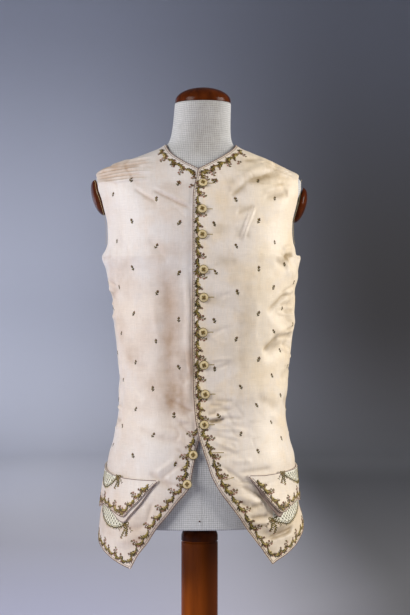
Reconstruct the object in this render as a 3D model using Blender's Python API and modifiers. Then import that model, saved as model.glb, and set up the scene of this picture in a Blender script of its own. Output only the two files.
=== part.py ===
"""An embroidered silk waistcoat of about 1780, buttoned on a limbless dress form.

The form is a linen-covered torso with a turned neck cap, two shoulder caps, a round post and a base.
The waistcoat is cut as it was sewn: two fronts that overlap at the buttons, two back halves,
two scalloped pocket flaps with their linings, and eleven covered buttons.

Frame: metres, +Z up, the front faces -Y and the wearer's left is +X.
The origin is the centre of the base's underside. Tables and named sizes below are in millimetres.
"""

import math
from collections import namedtuple
from functools import lru_cache

import bmesh
import bpy
import numpy as np
from mathutils import Vector

MM = 0.001
SEAM_GAP = 0.5  # between the two edges of a seam, and between two layers of cloth
FLAP_GAP = 0.9  # between a front and the flap lining that lies on it

# ---- the dress form's sizes ------------------------------------------------------------------

BASE_RADIUS = 150.0
BASE_HEIGHT = 30.0
BASE_ROUNDING = 9.0
POST_RADIUS = 32.0
POST_TOP = 239.0
POST_CHAMFER = 9.0
SPIGOT_RADIUS = 23.0  # it joins the post to the torso
FORM_BOTTOM = 250.0
NECK_TOP = 982.0
NECK_CAP_HEIGHT = 27.0
NECK_SHIFT = 6.0  # the neck's top leans this far towards the wearer's left
CAP_RADIUS = 32.0
CAP_HEIGHT = 15.0
CAP_TILT = 16.5  # degrees that the shoulder plates look downwards
FORM_SIDES = 32

# One row for each horizontal section: half breadths to the wearer's right and left of the middle,
# depths in front of and behind it, the section's squareness (2 is an ellipse), and its middle's x.
FormSection = namedtuple("FormSection", "z right left front back power shift")
FORM_SECTIONS = [
    FormSection(250, 157, 157, 114, 112, 2.3, 0),
    FormSection(300, 156, 156, 114, 112, 2.3, 0),
    FormSection(350, 151, 151, 111, 107, 2.3, 0),
    FormSection(400, 142, 142, 106, 98, 2.3, 0),
    FormSection(450, 134, 134, 102, 87, 2.3, 0),
    FormSection(500, 134, 134, 102, 81, 2.3, 0),
    FormSection(560, 138, 138, 106, 81, 2.3, 0),
    FormSection(620, 143, 143, 112, 87, 2.3, 0),
    FormSection(680, 152, 152, 116, 97, 2.3, 0),
    FormSection(730, 158.5, 158.5, 116, 105, 2.3, 0),
    FormSection(770, 162, 161, 112, 109, 2.3, 0),
    FormSection(805, 173, 171, 104, 108, 2.25, 0),
    FormSection(830, 181, 178, 95, 103, 2.2, 0),
    FormSection(844, 182, 178, 88, 98, 2.15, 0),
    FormSection(851, 179, 173, 84, 95, 2.1, 0),
    FormSection(858, 173, 164, 80, 92, 2.1, 0),
    FormSection(864, 163, 151, 77, 89, 2.05, 0),
    FormSection(873, 140, 132, 72, 84, 2.0, 0),
    FormSection(883, 112, 112, 66, 77, 2.0, 0),
    FormSection(894, 84, 84, 60, 69, 2.0, 0.5),
    FormSection(903, 65, 65, 55, 61, 2.0, 1.0),
    FormSection(912, 56, 56, 52, 55, 2.0, 1.6),
    FormSection(926, 52, 52, 50, 51, 2.0, 2.6),
    FormSection(950, 50, 50, 49.5, 49.5, 2.0, 4.2),
    FormSection(NECK_TOP, 49, 49, 49, 49, 2.0, NECK_SHIFT),
]

# ---- the waistcoat's sizes -------------------------------------------------------------------

FRONT_THICKNESS = 1.8  # silk, interlining and lining together
BACK_THICKNESS = 1.4
FLAP_THICKNESS = 1.5
FLAP_LINING_THICKNESS = 1.0

# How far the cloth's outer face stands off the form: at the right side, the left side, the front
# and the back, a row for each height.
Ease = namedtuple("Ease", "z right left front back")
EASE = [
    Ease(186, 20, 25, 22, 9),
    Ease(224, 19, 26, 21, 9),
    Ease(257, 17.5, 24, 19, 9),
    Ease(285, 13.5, 17.5, 17, 9),
    Ease(313, 11.5, 14.5, 15, 8.5),
    Ease(341, 10, 15, 13, 8),
    Ease(369, 10, 17.5, 11, 7.5),
    Ease(397, 7.5, 14.5, 9, 7),
    Ease(425, 7.5, 15, 8, 6.5),
    Ease(453, 7, 17, 7.5, 6.5),
    Ease(495, 8, 20.5, 7, 6.5),
    Ease(551, 7, 22, 7, 6.5),
    Ease(607, 9, 23, 6.5, 6.5),
    Ease(635, 6, 22, 6.5, 6.5),
    Ease(662, 8.5, 18, 6.5, 6.5),
    Ease(690, 10, 18.5, 6.5, 6.5),
    Ease(711, 14, 20.5, 6.5, 6),
    Ease(726, 9, 11, 6.5, 6),
    Ease(755, 6, 6, 6.5, 6),
    Ease(806, 5, 5, 6, 6),
    Ease(836, 5, 5, 5.5, 6),
    Ease(851, 6, 6.5, 5.5, 6),
    Ease(858, 7, 8, 5.5, 6),
    Ease(864, 10, 10, 5.5, 6.5),
    Ease(873, 10.5, 10, 5.5, 7),
    Ease(883, 9.5, 9.5, 5.5, 7),
    Ease(894, 8.5, 8.5, 5.5, 6.5),
    Ease(903, 6.5, 6.5, 5, 5.5),
    Ease(909, 4.5, 4.5, 4, 4.5),
]

SIDE_SEAM = 100.0  # degrees round from the middle of the front
SHOULDER_SEAM = 94.0
UNDERARM = 711.0
SHOULDER_TIP = 858.0
NECK_POINT = 908.5
BACK_NECK = 893.0
BACK_HEM = 264.0
VENT_TOP = 332.0
VENT_OPENING = 5.0  # degrees that the back skirt's edge draws away from the front's at the hem
OVERLAP_EDGE = 5.0  # x of the right front's edge under the left front
OVERLAP_FADE = 55.0  # past that edge, the left front comes back to the form over this breadth

# The inner edge of each front, from its hem point up the opening and round the neck: x at each z.
EdgePoint = namedtuple("EdgePoint", "z x")
LEFT_EDGE = [
    EdgePoint(192, 117.5), EdgePoint(217, 100), EdgePoint(236, 86.5), EdgePoint(256, 72),
    EdgePoint(281, 54), EdgePoint(294, 44), EdgePoint(316, 27.5), EdgePoint(332, 18.2),
    EdgePoint(345, 12), EdgePoint(367, 5.2), EdgePoint(384, -0.7), EdgePoint(413, -8.9),
    EdgePoint(440, -13.8), EdgePoint(505, -17.5), EdgePoint(588, -18.8), EdgePoint(746, -18.6),
    EdgePoint(810, -17.6), EdgePoint(830, -14.8), EdgePoint(846, -10.2), EdgePoint(861, -6.2),
    EdgePoint(862.5, -3), EdgePoint(872, 16), EdgePoint(885, 37.5), EdgePoint(898, 54),
    EdgePoint(908.5, 61),
]
RIGHT_EDGE = [
    EdgePoint(186, -122), EdgePoint(211, -109), EdgePoint(228, -96.5), EdgePoint(257, -78),
    EdgePoint(276, -61.8), EdgePoint(300, -43), EdgePoint(316, -28.8), EdgePoint(326, -22.4),
    EdgePoint(343, -19.6), EdgePoint(368, -14.6), EdgePoint(384, -11.5), EdgePoint(400, -7),
    EdgePoint(420, -1), EdgePoint(445, OVERLAP_EDGE), EdgePoint(846, OVERLAP_EDGE),
    EdgePoint(858, 3), EdgePoint(861.5, -5.5), EdgePoint(870, -22.5), EdgePoint(875.5, -32.5),
    EdgePoint(889, -51), EdgePoint(897.5, -57), EdgePoint(908.5, -60.5),
]

# The outer edge of each front, in degrees round: up the hem from its point, then the armhole.
RimPoint = namedtuple("RimPoint", "z degrees")
LEFT_HEM = [
    RimPoint(192, 37), RimPoint(198, 41), RimPoint(205, 47.5), RimPoint(213, 54.5),
    RimPoint(222, 61.5), RimPoint(232, 68), RimPoint(243, 77), RimPoint(254, 89),
    RimPoint(260, SIDE_SEAM),
]
RIGHT_HEM = [
    RimPoint(186, 41), RimPoint(189, 45.5), RimPoint(196, 54.5), RimPoint(205, 65),
    RimPoint(215, 77), RimPoint(223, 89), RimPoint(229, SIDE_SEAM),
]
LEFT_ARMHOLE = [
    RimPoint(711, SIDE_SEAM), RimPoint(712.5, 92), RimPoint(717, 84), RimPoint(725, 78),
    RimPoint(736, 71.5), RimPoint(755, 71), RimPoint(780, 70.5), RimPoint(806, 69.5),
    RimPoint(828, 66), RimPoint(844, 66), RimPoint(852, 73), RimPoint(855.8, 81),
    RimPoint(858, SHOULDER_SEAM),
]
RIGHT_ARMHOLE = [
    RimPoint(711, SIDE_SEAM), RimPoint(712.5, 92), RimPoint(717, 84), RimPoint(725, 77.5),
    RimPoint(736, 73), RimPoint(755, 73), RimPoint(780, 73), RimPoint(806, 71),
    RimPoint(828, 70), RimPoint(844, 72), RimPoint(852, 78), RimPoint(855.8, 84),
    RimPoint(858, SHOULDER_SEAM),
]
BACK_ARMHOLE = [
    RimPoint(711, SIDE_SEAM), RimPoint(713, 107), RimPoint(718, 115), RimPoint(726, 121),
    RimPoint(736, 124.5), RimPoint(755, 127), RimPoint(790, 127), RimPoint(820, 124),
    RimPoint(840, 118), RimPoint(852, 109), RimPoint(855.8, 102), RimPoint(858, SHOULDER_SEAM),
]
BACK_NECKLINE = [
    RimPoint(893, 180), RimPoint(894.5, 160), RimPoint(898, 140), RimPoint(903, 122),
    RimPoint(908.5, 106),
]

# How the height of each panel is shared into rows: from one height to the next, that many steps.
SEAM_ROWS = [(VENT_TOP, 690, 15), (690, UNDERARM, 2), (UNDERARM, 712.6, 1), (712.6, 717, 1),
             (717, 725, 1), (725, 736, 1), (736, 836, 5), (836, 846, 1), (846, 852, 1),
             (852, 855.8, 1), (855.8, SHOULDER_TIP, 1), (SHOULDER_TIP, BACK_NECK, 4),
             (BACK_NECK, 894, 1), (894, 896, 1), (896, 899.5, 1), (899.5, 903.5, 1),
             (903.5, NECK_POINT, 1)]
LEFT_FRONT_ROWS = [(193.2, 260, 8), (260, VENT_TOP, 4)] + SEAM_ROWS
RIGHT_FRONT_ROWS = [(187, 229, 6), (229, VENT_TOP, 6)] + SEAM_ROWS
BACK_ROWS = [(BACK_HEM, VENT_TOP, 3)] + SEAM_ROWS
FRONT_COLUMNS = 12
BACK_COLUMNS = 10
EDGE_COLUMN = 0.02  # the columns along both edges are this share of the panel's breadth

# The cloth's largest folds: a trough (minus) or ridge (plus) from one end to the other. s is the
# distance round the body from the middle of the front, minus to the wearer's right.
Fold = namedtuple("Fold", "s0 z0 s1 z1 width depth")
FOLDS = [
    Fold(40, 796, 160, 832, 16, -2.6),
    Fold(70, 768, 175, 815, 15, 3.0),
    Fold(165, 706, 228, 716, 11, -7.0),
    Fold(150, 690, 222, 672, 14, 4.0),
    Fold(120, 606, 205, 642, 13, -4.5),
    Fold(105, 540, 200, 575, 13, -4.5),
    Fold(130, 575, 215, 605, 13, 3.5),
    Fold(25, 413, 90, 424, 9, -2.5),
    Fold(-215, 845, -95, 868, 9, -2.2),
    Fold(-215, 826, -100, 848, 9, 1.8),
    Fold(-205, 690, -165, 560, 14, 3.0),
    Fold(-235, 520, -150, 470, 16, -2.5),
    Fold(60, 262, 120, 236, 12, -4.0),
    Fold(-110, 300, -150, 215, 16, 3.0),
    Fold(120, 300, 165, 225, 16, 3.0),
    Fold(-300, 640, -400, 520, 20, -3.0),
    Fold(300, 640, 400, 510, 20, -3.0),
    Fold(-330, 420, -380, 300, 24, 3.5),
    Fold(330, 430, 380, 300, 24, 3.5),
    Fold(290, 760, 360, 800, 16, -2.5),
    Fold(-290, 765, -360, 805, 16, -2.5),
]

# Each pocket flap's outline: distance from its front point round towards the side, and how far
# its top and lower edges stand above the height of that point.
FlapStation = namedtuple("FlapStation", "s top low")
FLAP_STATIONS = {
    "right": [
        FlapStation(0, 0, -3), FlapStation(12, 0, -13), FlapStation(34, 0, -33),
        FlapStation(53, 0.5, -51), FlapStation(69, 1.5, -64), FlapStation(92, 4, -55),
        FlapStation(118, 8, -48), FlapStation(140, 11.5, -47), FlapStation(158, 15, -54),
        FlapStation(172, 17, -58), FlapStation(186, 19, -50),
    ],
    "left": [
        FlapStation(0, 0, -3), FlapStation(12, -0.5, -16), FlapStation(30, -1, -36),
        FlapStation(45, 0, -54), FlapStation(58, 1, -66), FlapStation(84, 3, -56),
        FlapStation(112, 5, -48), FlapStation(136, 6.5, -46), FlapStation(156, 8, -52),
        FlapStation(172, 9, -56), FlapStation(186, 10, -48),
    ],
}
FLAP_FRONT = {"right": 76.5, "left": 75.5}  # round from the middle of the front
FLAP_HEIGHT = {"right": 335.5, "left": 343.0}
FLAP_COLUMNS = 18
FLAP_ROWS = 6
FLAP_HANG = {"right": 6.0, "left": 8.5}  # how far its point stands off the front
LINING_SHOWS = 9.0  # the lining reaches this far below the flap's point

# Buttons: the nine that are closed, down the front, and the two on the right front's open skirt.
Button = namedtuple("Button", "z x")
BUTTON_RADIUS = 8.3
BUTTON_DEPTH = 5.0
CLOSED_BUTTONS = [
    Button(833.5, 0.3), Button(789.5, -2), Button(747, -2.3), Button(688.5, -0.5),
    Button(642, 0.2), Button(583.5, -0.8), Button(528.5, 1.2), Button(479, 3.2),
    Button(427.5, 1.6),
]
OPEN_BUTTONS = [Button(378, -17.2), Button(329.5, -27.8)]

# ---- curves, sections and points -------------------------------------------------------------


class Curve:
    """A smooth curve through a table's rows that never overshoots them."""

    def __init__(self, rows, value, key="z"):
        self.at = np.array([getattr(row, key) for row in rows], float)
        self.value = np.array([getattr(row, value) for row in rows], float)
        steps = np.diff(self.at)
        climbs = np.diff(self.value) / steps
        self.slope = np.empty_like(self.value)
        self.slope[0], self.slope[-1] = climbs[0], climbs[-1]
        for i in range(1, len(climbs)):
            before, after = climbs[i - 1], climbs[i]
            if before * after <= 0:
                self.slope[i] = 0.0
                continue
            w1 = 2 * steps[i] + steps[i - 1]
            w2 = steps[i] + 2 * steps[i - 1]
            self.slope[i] = (w1 + w2) / (w1 / before + w2 / after)

    def __call__(self, at):
        at = min(max(at, self.at[0]), self.at[-1])
        i = int(min(max(np.searchsorted(self.at, at) - 1, 0), len(self.at) - 2))
        step = self.at[i + 1] - self.at[i]
        t = (at - self.at[i]) / step
        rise = self.value[i + 1] - self.value[i]
        bend = step * (self.slope[i] * t * (1 - t) ** 2 - self.slope[i + 1] * t * t * (1 - t))
        return self.value[i] + rise * t * t * (3 - 2 * t) + bend


FORM = {name: Curve(FORM_SECTIONS, name) for name in FormSection._fields[1:]}
EASE_AT = {name: Curve(EASE, name) for name in Ease._fields[1:]}
LEFT_EDGE_X = Curve(LEFT_EDGE, "x")
RIGHT_EDGE_X = Curve(RIGHT_EDGE, "x")
RING_STEPS = 720


def smooth(share):
    """0 below 0, 1 above 1, and an even S between."""
    share = min(max(share, 0.0), 1.0)
    return share * share * (3 - 2 * share)


def ring_point(degrees, z, ease=None):
    """A point of the form's section at z, or of the cloth's where ease is its table. Millimetres."""
    angle = math.radians(degrees)
    across, along = math.sin(angle), math.cos(angle)
    side = "left" if across >= 0 else "right"
    face = "front" if along >= 0 else "back"
    breadth, depth = FORM[side](z), FORM[face](z)
    if ease:
        breadth += ease[side](z)
        depth += ease[face](z)
    bend = 2 / FORM["power"](z)
    x = math.copysign(breadth * abs(across) ** bend, across) + FORM["shift"](z)
    y = -math.copysign(depth * abs(along) ** bend, along)
    return Vector((x, y, z))


@lru_cache(maxsize=None)
def cloth_ring(z):
    """The cloth's section at z: angles, and the distance round from the middle of the front."""
    angles = np.linspace(-180, 180, RING_STEPS + 1)
    points = np.array([ring_point(angle, z, EASE_AT) for angle in angles])
    girth = np.concatenate([[0], np.cumsum(np.linalg.norm(np.diff(points, axis=0), axis=1))])
    return angles, girth - girth[RING_STEPS // 2]


def angle_at(s, z):
    angles, girth = cloth_ring(z)
    return float(np.interp(s, girth, angles))


def distance_round(degrees, z):
    angles, girth = cloth_ring(z)
    return float(np.interp(degrees, angles, girth))


def angle_of_x(x, z):
    """Where, on the front half of the cloth's section at z, it is x millimetres from the middle."""
    side = "left" if x >= 0 else "right"
    breadth = FORM[side](z) + EASE_AT[side](z)
    share = min(abs(x) / breadth, 1.0)
    return math.copysign(math.degrees(math.asin(share ** (FORM["power"](z) / 2))), x)


def fold_at(s, z):
    """How far the folds push the cloth out (plus) or in (minus) here."""
    total = 0.0
    for fold in FOLDS:
        start, end = Vector((fold.s0, fold.z0)), Vector((fold.s1, fold.z1))
        run = end - start
        here = Vector((s, z)) - start
        t = here.dot(run) / run.length_squared
        away = (here - run * min(max(t, 0), 1)).length / fold.width
        if away < 3:
            taper = smooth(0.15 + min(t, 1 - t) * 4)
            total += fold.depth * taper * math.exp(-away * away)
    return total


def cloth_normal(degrees, z):
    """The outward normal of the cloth's plain surface."""
    step = 0.5
    round_it = ring_point(degrees + step, z, EASE_AT) - ring_point(degrees - step, z, EASE_AT)
    up_it = ring_point(degrees, z + step, EASE_AT) - ring_point(degrees, z - step, EASE_AT)
    return round_it.cross(up_it).normalized()


def cloth_point(degrees, z, lift=0.0):
    """A point of the cloth's outer face, folds included, moved out by lift. Millimetres."""
    out = lift + fold_at(distance_round(degrees, z), z)
    return ring_point(degrees, z, EASE_AT) + cloth_normal(degrees, z) * out


def overlap_lift(degrees, z):
    """The left front rides over the right one by its thickness, and falls back past its edge."""
    x = ring_point(degrees, z, EASE_AT).x
    share = (x - OVERLAP_EDGE - 4) / OVERLAP_FADE
    apart = smooth((410 - z) / 60)  # below the last button the fronts part and the lift fades
    return (FRONT_THICKNESS + SEAM_GAP) * (1 - smooth(share)) * (1 - apart)


def left_front_point(degrees, z, lift=0.0):
    return cloth_point(degrees, z, lift + overlap_lift(degrees, z))


# ---- the panels' edges, in degrees round at each height ---------------------------------------


def seam_degrees(z, degrees=SIDE_SEAM):
    """Half of the seam's gap, as an angle."""
    one_degree = ring_point(degrees + 0.5, z, EASE_AT) - ring_point(degrees - 0.5, z, EASE_AT)
    return 0.5 * SEAM_GAP / one_degree.length


def front_outer_edge(z, hem, armhole):
    """The outer edge of a front, in degrees from the middle: hem, side seam, armhole, shoulder."""
    if z < hem.at[-1]:
        return hem(z)
    if z < UNDERARM:
        return SIDE_SEAM - seam_degrees(z)
    if z < SHOULDER_TIP:
        return min(armhole(z), SIDE_SEAM - seam_degrees(z))
    return SHOULDER_SEAM - seam_degrees(z, SHOULDER_SEAM)


def back_outer_edge(z, armhole):
    """The side edge of a back half: the vent, the side seam, the armhole, then the shoulder."""
    if z < VENT_TOP:
        drawn = VENT_OPENING * smooth((VENT_TOP - z) / (VENT_TOP - BACK_HEM))
        return SIDE_SEAM + drawn + seam_degrees(z)
    if z < UNDERARM:
        return SIDE_SEAM + seam_degrees(z)
    if z < SHOULDER_TIP:
        return max(armhole(z), SIDE_SEAM + seam_degrees(z))
    return SHOULDER_SEAM + seam_degrees(z, SHOULDER_SEAM)


def row_heights(stages):
    heights = [stages[0][0]]
    for low, high, steps in stages:
        heights += [low + (high - low) * (i + 1) / steps for i in range(steps)]
    return heights


def panel_point(u, z, low_edge, high_edge, place):
    """The point a share u of the way along the panel's row at z, by distance and not by angle."""
    start = distance_round(low_edge(z), z)
    end = distance_round(high_edge(z), z)
    return place(angle_at(start + (end - start) * u, z), z)


# ---- objects ----------------------------------------------------------------------------------


def clear_scene():
    for obj in list(bpy.data.objects):
        bpy.data.objects.remove(obj)


def new_collection(name):
    collection = bpy.data.collections.new(name)
    bpy.context.scene.collection.children.link(collection)
    return collection


def new_material(name, color, roughness, metallic=0.0, sheen=0.0):
    material = bpy.data.materials.new(name)
    material.use_nodes = True
    shader = material.node_tree.nodes["Principled BSDF"]
    shader.inputs["Base Color"].default_value = (*color, 1)
    shader.inputs["Roughness"].default_value = roughness
    shader.inputs["Metallic"].default_value = metallic
    shader.inputs["Sheen Weight"].default_value = sheen
    return material


def object_from(bm, name, collection, material):
    mesh = bpy.data.meshes.new(name)
    bm.to_mesh(mesh)
    bm.free()
    mesh.materials.append(material)
    mesh.shade_smooth()
    obj = bpy.data.objects.new(name, mesh)
    collection.objects.link(obj)
    return obj


def cloth_wall(name, columns, heights, place, thickness, collection, material):
    """A cloth wall: a grid whose points place(u, z) sets, thickened towards the form."""
    rows = len(heights) - 1
    shares = [0, *np.linspace(EDGE_COLUMN, 1 - EDGE_COLUMN, columns - 1), 1]
    bm = bmesh.new()
    bmesh.ops.create_grid(bm, x_segments=columns, y_segments=rows, size=1)
    for vertex in bm.verts:
        column = round((vertex.co.x + 1) / 2 * columns)
        row = round((vertex.co.y + 1) / 2 * rows)
        vertex.co = place(shares[column], heights[row]) * MM
    obj = object_from(bm, name, collection, material)
    wall = obj.modifiers.new("wall", "SOLIDIFY")
    wall.thickness = thickness * MM
    wall.offset = -1
    return obj


def turned(name, profile, steps, collection, material):
    """A turned solid: profile is (radius, height) in millimetres, from the top down the outside."""
    bm = bmesh.new()
    points = [bm.verts.new((radius * MM, 0, height * MM)) for radius, height in profile]
    for first, second in zip(points, points[1:]):
        bm.edges.new((first, second))
    obj = object_from(bm, name, collection, material)
    screw = obj.modifiers.new("turn", "SCREW")
    screw.steps = screw.render_steps = steps
    screw.use_merge_vertices = True
    screw.merge_threshold = 0.00001
    return obj


def dome_profile(radius, height, rim, points):
    """A dome of that radius and height over a straight rim, from its top to its flat back."""
    curve = [(0.0, rim + height)]
    for i in range(1, points + 1):
        angle = math.pi / 2 * i / points
        curve.append((radius * math.sin(angle), rim + height * math.cos(angle)))
    return curve + [(radius, 0.0), (0.0, 0.0)]


def stand_on(obj, point, normal, spin=0.0):
    """Puts obj's underside on the point, with its +Z along the normal."""
    obj.rotation_mode = "QUATERNION"
    obj.rotation_quaternion = normal.to_track_quat("Z", "Y")
    obj.location = point * MM


# ---- the dress form ---------------------------------------------------------------------------


def form_heights():
    """Section heights: each row of the table, and one between rows that stand far apart."""
    heights = []
    for low, high in zip(FORM_SECTIONS, FORM_SECTIONS[1:]):
        heights.append(low.z)
        if high.z - low.z > 40:
            heights.append((low.z + high.z) / 2)
    return heights + [NECK_TOP]


def make_torso(collection, cutters, material):
    """The linen-covered torso: a loft through its sections, closed flat at the hip and the neck."""
    heights = form_heights()
    rows = len(heights) - 1
    bm = bmesh.new()
    bmesh.ops.create_grid(bm, x_segments=FORM_SIDES, y_segments=rows, size=1)
    for vertex in bm.verts:
        degrees = 180 * vertex.co.x
        row = round((vertex.co.y + 1) / 2 * rows)
        vertex.co = ring_point(degrees, heights[row]) * MM
    bmesh.ops.remove_doubles(bm, verts=bm.verts, dist=0.00001)
    bmesh.ops.holes_fill(bm, edges=bm.edges, sides=FORM_SIDES + 1)
    bmesh.ops.recalc_face_normals(bm, faces=bm.faces)
    torso = object_from(bm, "form_torso", collection, material)
    for side in SHOULDER_PLATES:
        plate = torso.modifiers.new("plate_" + side, "BOOLEAN")
        plate.operation = "DIFFERENCE"
        plate.object = plate_cutter(side, cutters)
    return torso


# The middle of each shoulder plate: the wearer's right shoulder is the higher one.
SHOULDER_PLATES = {"right": (-172.0, 817.0), "left": (171.5, 805.0)}
PLATE_REACH = 112.0


def plate_normal(side):
    tilt = math.radians(CAP_TILT)
    return Vector((math.copysign(math.cos(tilt), SHOULDER_PLATES[side][0]), 0, -math.sin(tilt)))


def plate_cutter(side, cutters):
    """A block that leaves a flat seat for the shoulder cap."""
    x, z = SHOULDER_PLATES[side]
    bm = bmesh.new()
    bmesh.ops.create_cube(bm, size=PLATE_REACH * MM)
    bmesh.ops.translate(bm, verts=bm.verts, vec=(0, 0, PLATE_REACH / 2 * MM))
    cutter = object_from(bm, "plate_cutter_" + side, cutters, bpy.data.materials["linen"])
    stand_on(cutter, Vector((x, 0, z)), plate_normal(side))
    cutter.hide_render = True
    cutter.display_type = "WIRE"
    return cutter


def make_form_fittings(collection, wood):
    neck_cap = turned("neck_cap", dome_profile(48.5, NECK_CAP_HEIGHT - 3, 3, 6), 28,
                      collection, wood)
    neck_cap.location = Vector((NECK_SHIFT, 0, NECK_TOP + 0.3)) * MM
    for side, (x, z) in SHOULDER_PLATES.items():
        cap = turned("shoulder_cap_" + side, dome_profile(CAP_RADIUS, CAP_HEIGHT - 2, 2, 4), 24,
                     collection, wood)
        normal = plate_normal(side)
        stand_on(cap, Vector((x, 0, z)) + normal * 0.3, normal)
    post_top = FORM_BOTTOM - 0.3
    turned("post", [(0, post_top), (SPIGOT_RADIUS, post_top), (SPIGOT_RADIUS, POST_TOP),
                    (POST_RADIUS - 0.6 * POST_CHAMFER, POST_TOP),
                    (POST_RADIUS, POST_TOP - POST_CHAMFER), (POST_RADIUS, BASE_HEIGHT + 0.3),
                    (0, BASE_HEIGHT + 0.3)], 28, collection, wood)
    turned("base", base_profile(), 44, collection, wood)


def base_profile():
    """The round base: a flat top, a rounded edge and a flat underside."""
    profile = [(0.0, BASE_HEIGHT)]
    middle = BASE_HEIGHT - BASE_ROUNDING
    for i in range(5):
        angle = math.pi / 2 * i / 4
        profile.append((BASE_RADIUS - BASE_ROUNDING * (1 - math.sin(angle)),
                        middle + BASE_ROUNDING * math.cos(angle)))
    return profile + [(BASE_RADIUS, 2.0), (BASE_RADIUS - 2.0, 0.0), (0.0, 0.0)]


# ---- the waistcoat ----------------------------------------------------------------------------


def make_fronts(collection, silk):
    left_hem, left_armhole = Curve(LEFT_HEM, "degrees"), Curve(LEFT_ARMHOLE, "degrees")
    right_hem, right_armhole = Curve(RIGHT_HEM, "degrees"), Curve(RIGHT_ARMHOLE, "degrees")

    def left_inner(z):
        return angle_of_x(LEFT_EDGE_X(z), z)

    def left_outer(z):
        return front_outer_edge(z, left_hem, left_armhole)

    def right_inner(z):
        return angle_of_x(RIGHT_EDGE_X(z), z)

    def right_outer(z):
        return -front_outer_edge(z, right_hem, right_armhole)

    cloth_wall("front_left", FRONT_COLUMNS, row_heights(LEFT_FRONT_ROWS),
               lambda u, z: panel_point(u, z, left_inner, left_outer, left_front_point),
               FRONT_THICKNESS, collection, silk)
    cloth_wall("front_right", FRONT_COLUMNS, row_heights(RIGHT_FRONT_ROWS),
               lambda u, z: panel_point(u, z, right_outer, right_inner, cloth_point),
               FRONT_THICKNESS, collection, silk)


def make_backs(collection, lining):
    armhole, neckline = Curve(BACK_ARMHOLE, "degrees"), Curve(BACK_NECKLINE, "degrees")
    heights = row_heights(BACK_ROWS)

    def inner(z):
        centre = 180 - seam_degrees(z, 180)
        return min(neckline(z), centre) if z > BACK_NECK else centre

    def outer(z):
        return back_outer_edge(z, armhole)

    cloth_wall("back_left", BACK_COLUMNS, heights,
               lambda u, z: panel_point(u, z, outer, inner, cloth_point),
               BACK_THICKNESS, collection, lining)
    cloth_wall("back_right", BACK_COLUMNS, heights,
               lambda u, z: panel_point(u, z, lambda h: -inner(h), lambda h: -outer(h),
                                        cloth_point),
               BACK_THICKNESS, collection, lining)


def flap_wall(side, name, thickness, drop, under, hang, collection, material):
    """One layer of a pocket flap, laid over its front: under is its inner face's clearance there,
    hang how far its points stand off, and drop how far it reaches below the flap's own edge."""
    sign = 1 if side == "left" else -1
    top = Curve(FLAP_STATIONS[side], "top", key="s")
    low = Curve(FLAP_STATIONS[side], "low", key="s")
    length = FLAP_STATIONS[side][-1].s
    bm = bmesh.new()
    bmesh.ops.create_grid(bm, x_segments=FLAP_COLUMNS, y_segments=FLAP_ROWS, size=1)
    for vertex in bm.verts:
        along = (vertex.co.x + 1) / 2
        down = (1 - vertex.co.y) / 2
        s = length * (along if sign > 0 else 1 - along)
        shows = smooth(s / 70) * (1 - smooth((s - 70) / 35))
        reach = top(s) - low(s) + drop * shows
        z = FLAP_HEIGHT[side] + top(s) - reach * down
        degrees = angle_at(sign * (FLAP_FRONT[side] + s), z)
        stands_off = hang * (1 - smooth((s - 60) / 90))
        lift = under + thickness + stands_off * smooth(down) * smooth(reach / 45)
        place = left_front_point if side == "left" else cloth_point
        vertex.co = place(degrees, z, lift) * MM
    obj = object_from(bm, name, collection, material)
    wall = obj.modifiers.new("wall", "SOLIDIFY")
    wall.thickness = thickness * MM
    wall.offset = -1
    return obj


def make_flaps(collection, silk, lining):
    for side, hang in FLAP_HANG.items():
        flap_wall(side, "flap_lining_" + side, FLAP_LINING_THICKNESS, LINING_SHOWS, FLAP_GAP,
                  0.35 * hang, collection, lining)
        flap_wall(side, "flap_" + side, FLAP_THICKNESS, 0.0,
                  FLAP_GAP + FLAP_LINING_THICKNESS + SEAM_GAP, hang, collection, silk)


def button_profile():
    """A covered button: a flat back, a rounded edge and a low crown."""
    radius, depth = BUTTON_RADIUS, BUTTON_DEPTH
    return [(0, depth), (radius * 0.45, depth * 0.94), (radius * 0.8, depth * 0.74),
            (radius * 0.97, depth * 0.42), (radius, depth * 0.24), (radius * 0.9, 0), (0, 0)]


def make_buttons(collection, cover):
    first = turned("button_01", button_profile(), 14, collection, cover)
    places = [(left_front_point, *row) for row in CLOSED_BUTTONS]
    places += [(cloth_point, *row) for row in OPEN_BUTTONS]
    for number, (place, z, x) in enumerate(places, 1):
        button = first
        if number > 1:
            button = first.copy()
            button.name = f"button_{number:02d}"
            collection.objects.link(button)
        degrees = angle_of_x(x, z)
        stand_on(button, place(degrees, z, 0.8), cloth_normal(degrees, z))


def main():
    clear_scene()
    parts = new_collection("waistcoat_on_dress_form")
    cutters = new_collection("cutters")
    linen = new_material("linen", (0.70, 0.70, 0.66), 0.9, sheen=0.2)
    wood = new_material("stained_wood", (0.16, 0.045, 0.015), 0.32)
    silk = new_material("ivory_silk", (0.80, 0.70, 0.57), 0.45, sheen=0.4)
    back_cloth = new_material("back_linen", (0.76, 0.68, 0.55), 0.8)
    cover = new_material("button_silk", (0.72, 0.56, 0.30), 0.5)
    make_torso(parts, cutters, linen)
    make_form_fittings(parts, wood)
    make_fronts(parts, silk)
    make_backs(parts, back_cloth)
    make_flaps(parts, silk, back_cloth)
    make_buttons(parts, cover)


main()
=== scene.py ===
import math
import random

import bpy
import numpy as np
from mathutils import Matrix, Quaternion, Vector


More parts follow.
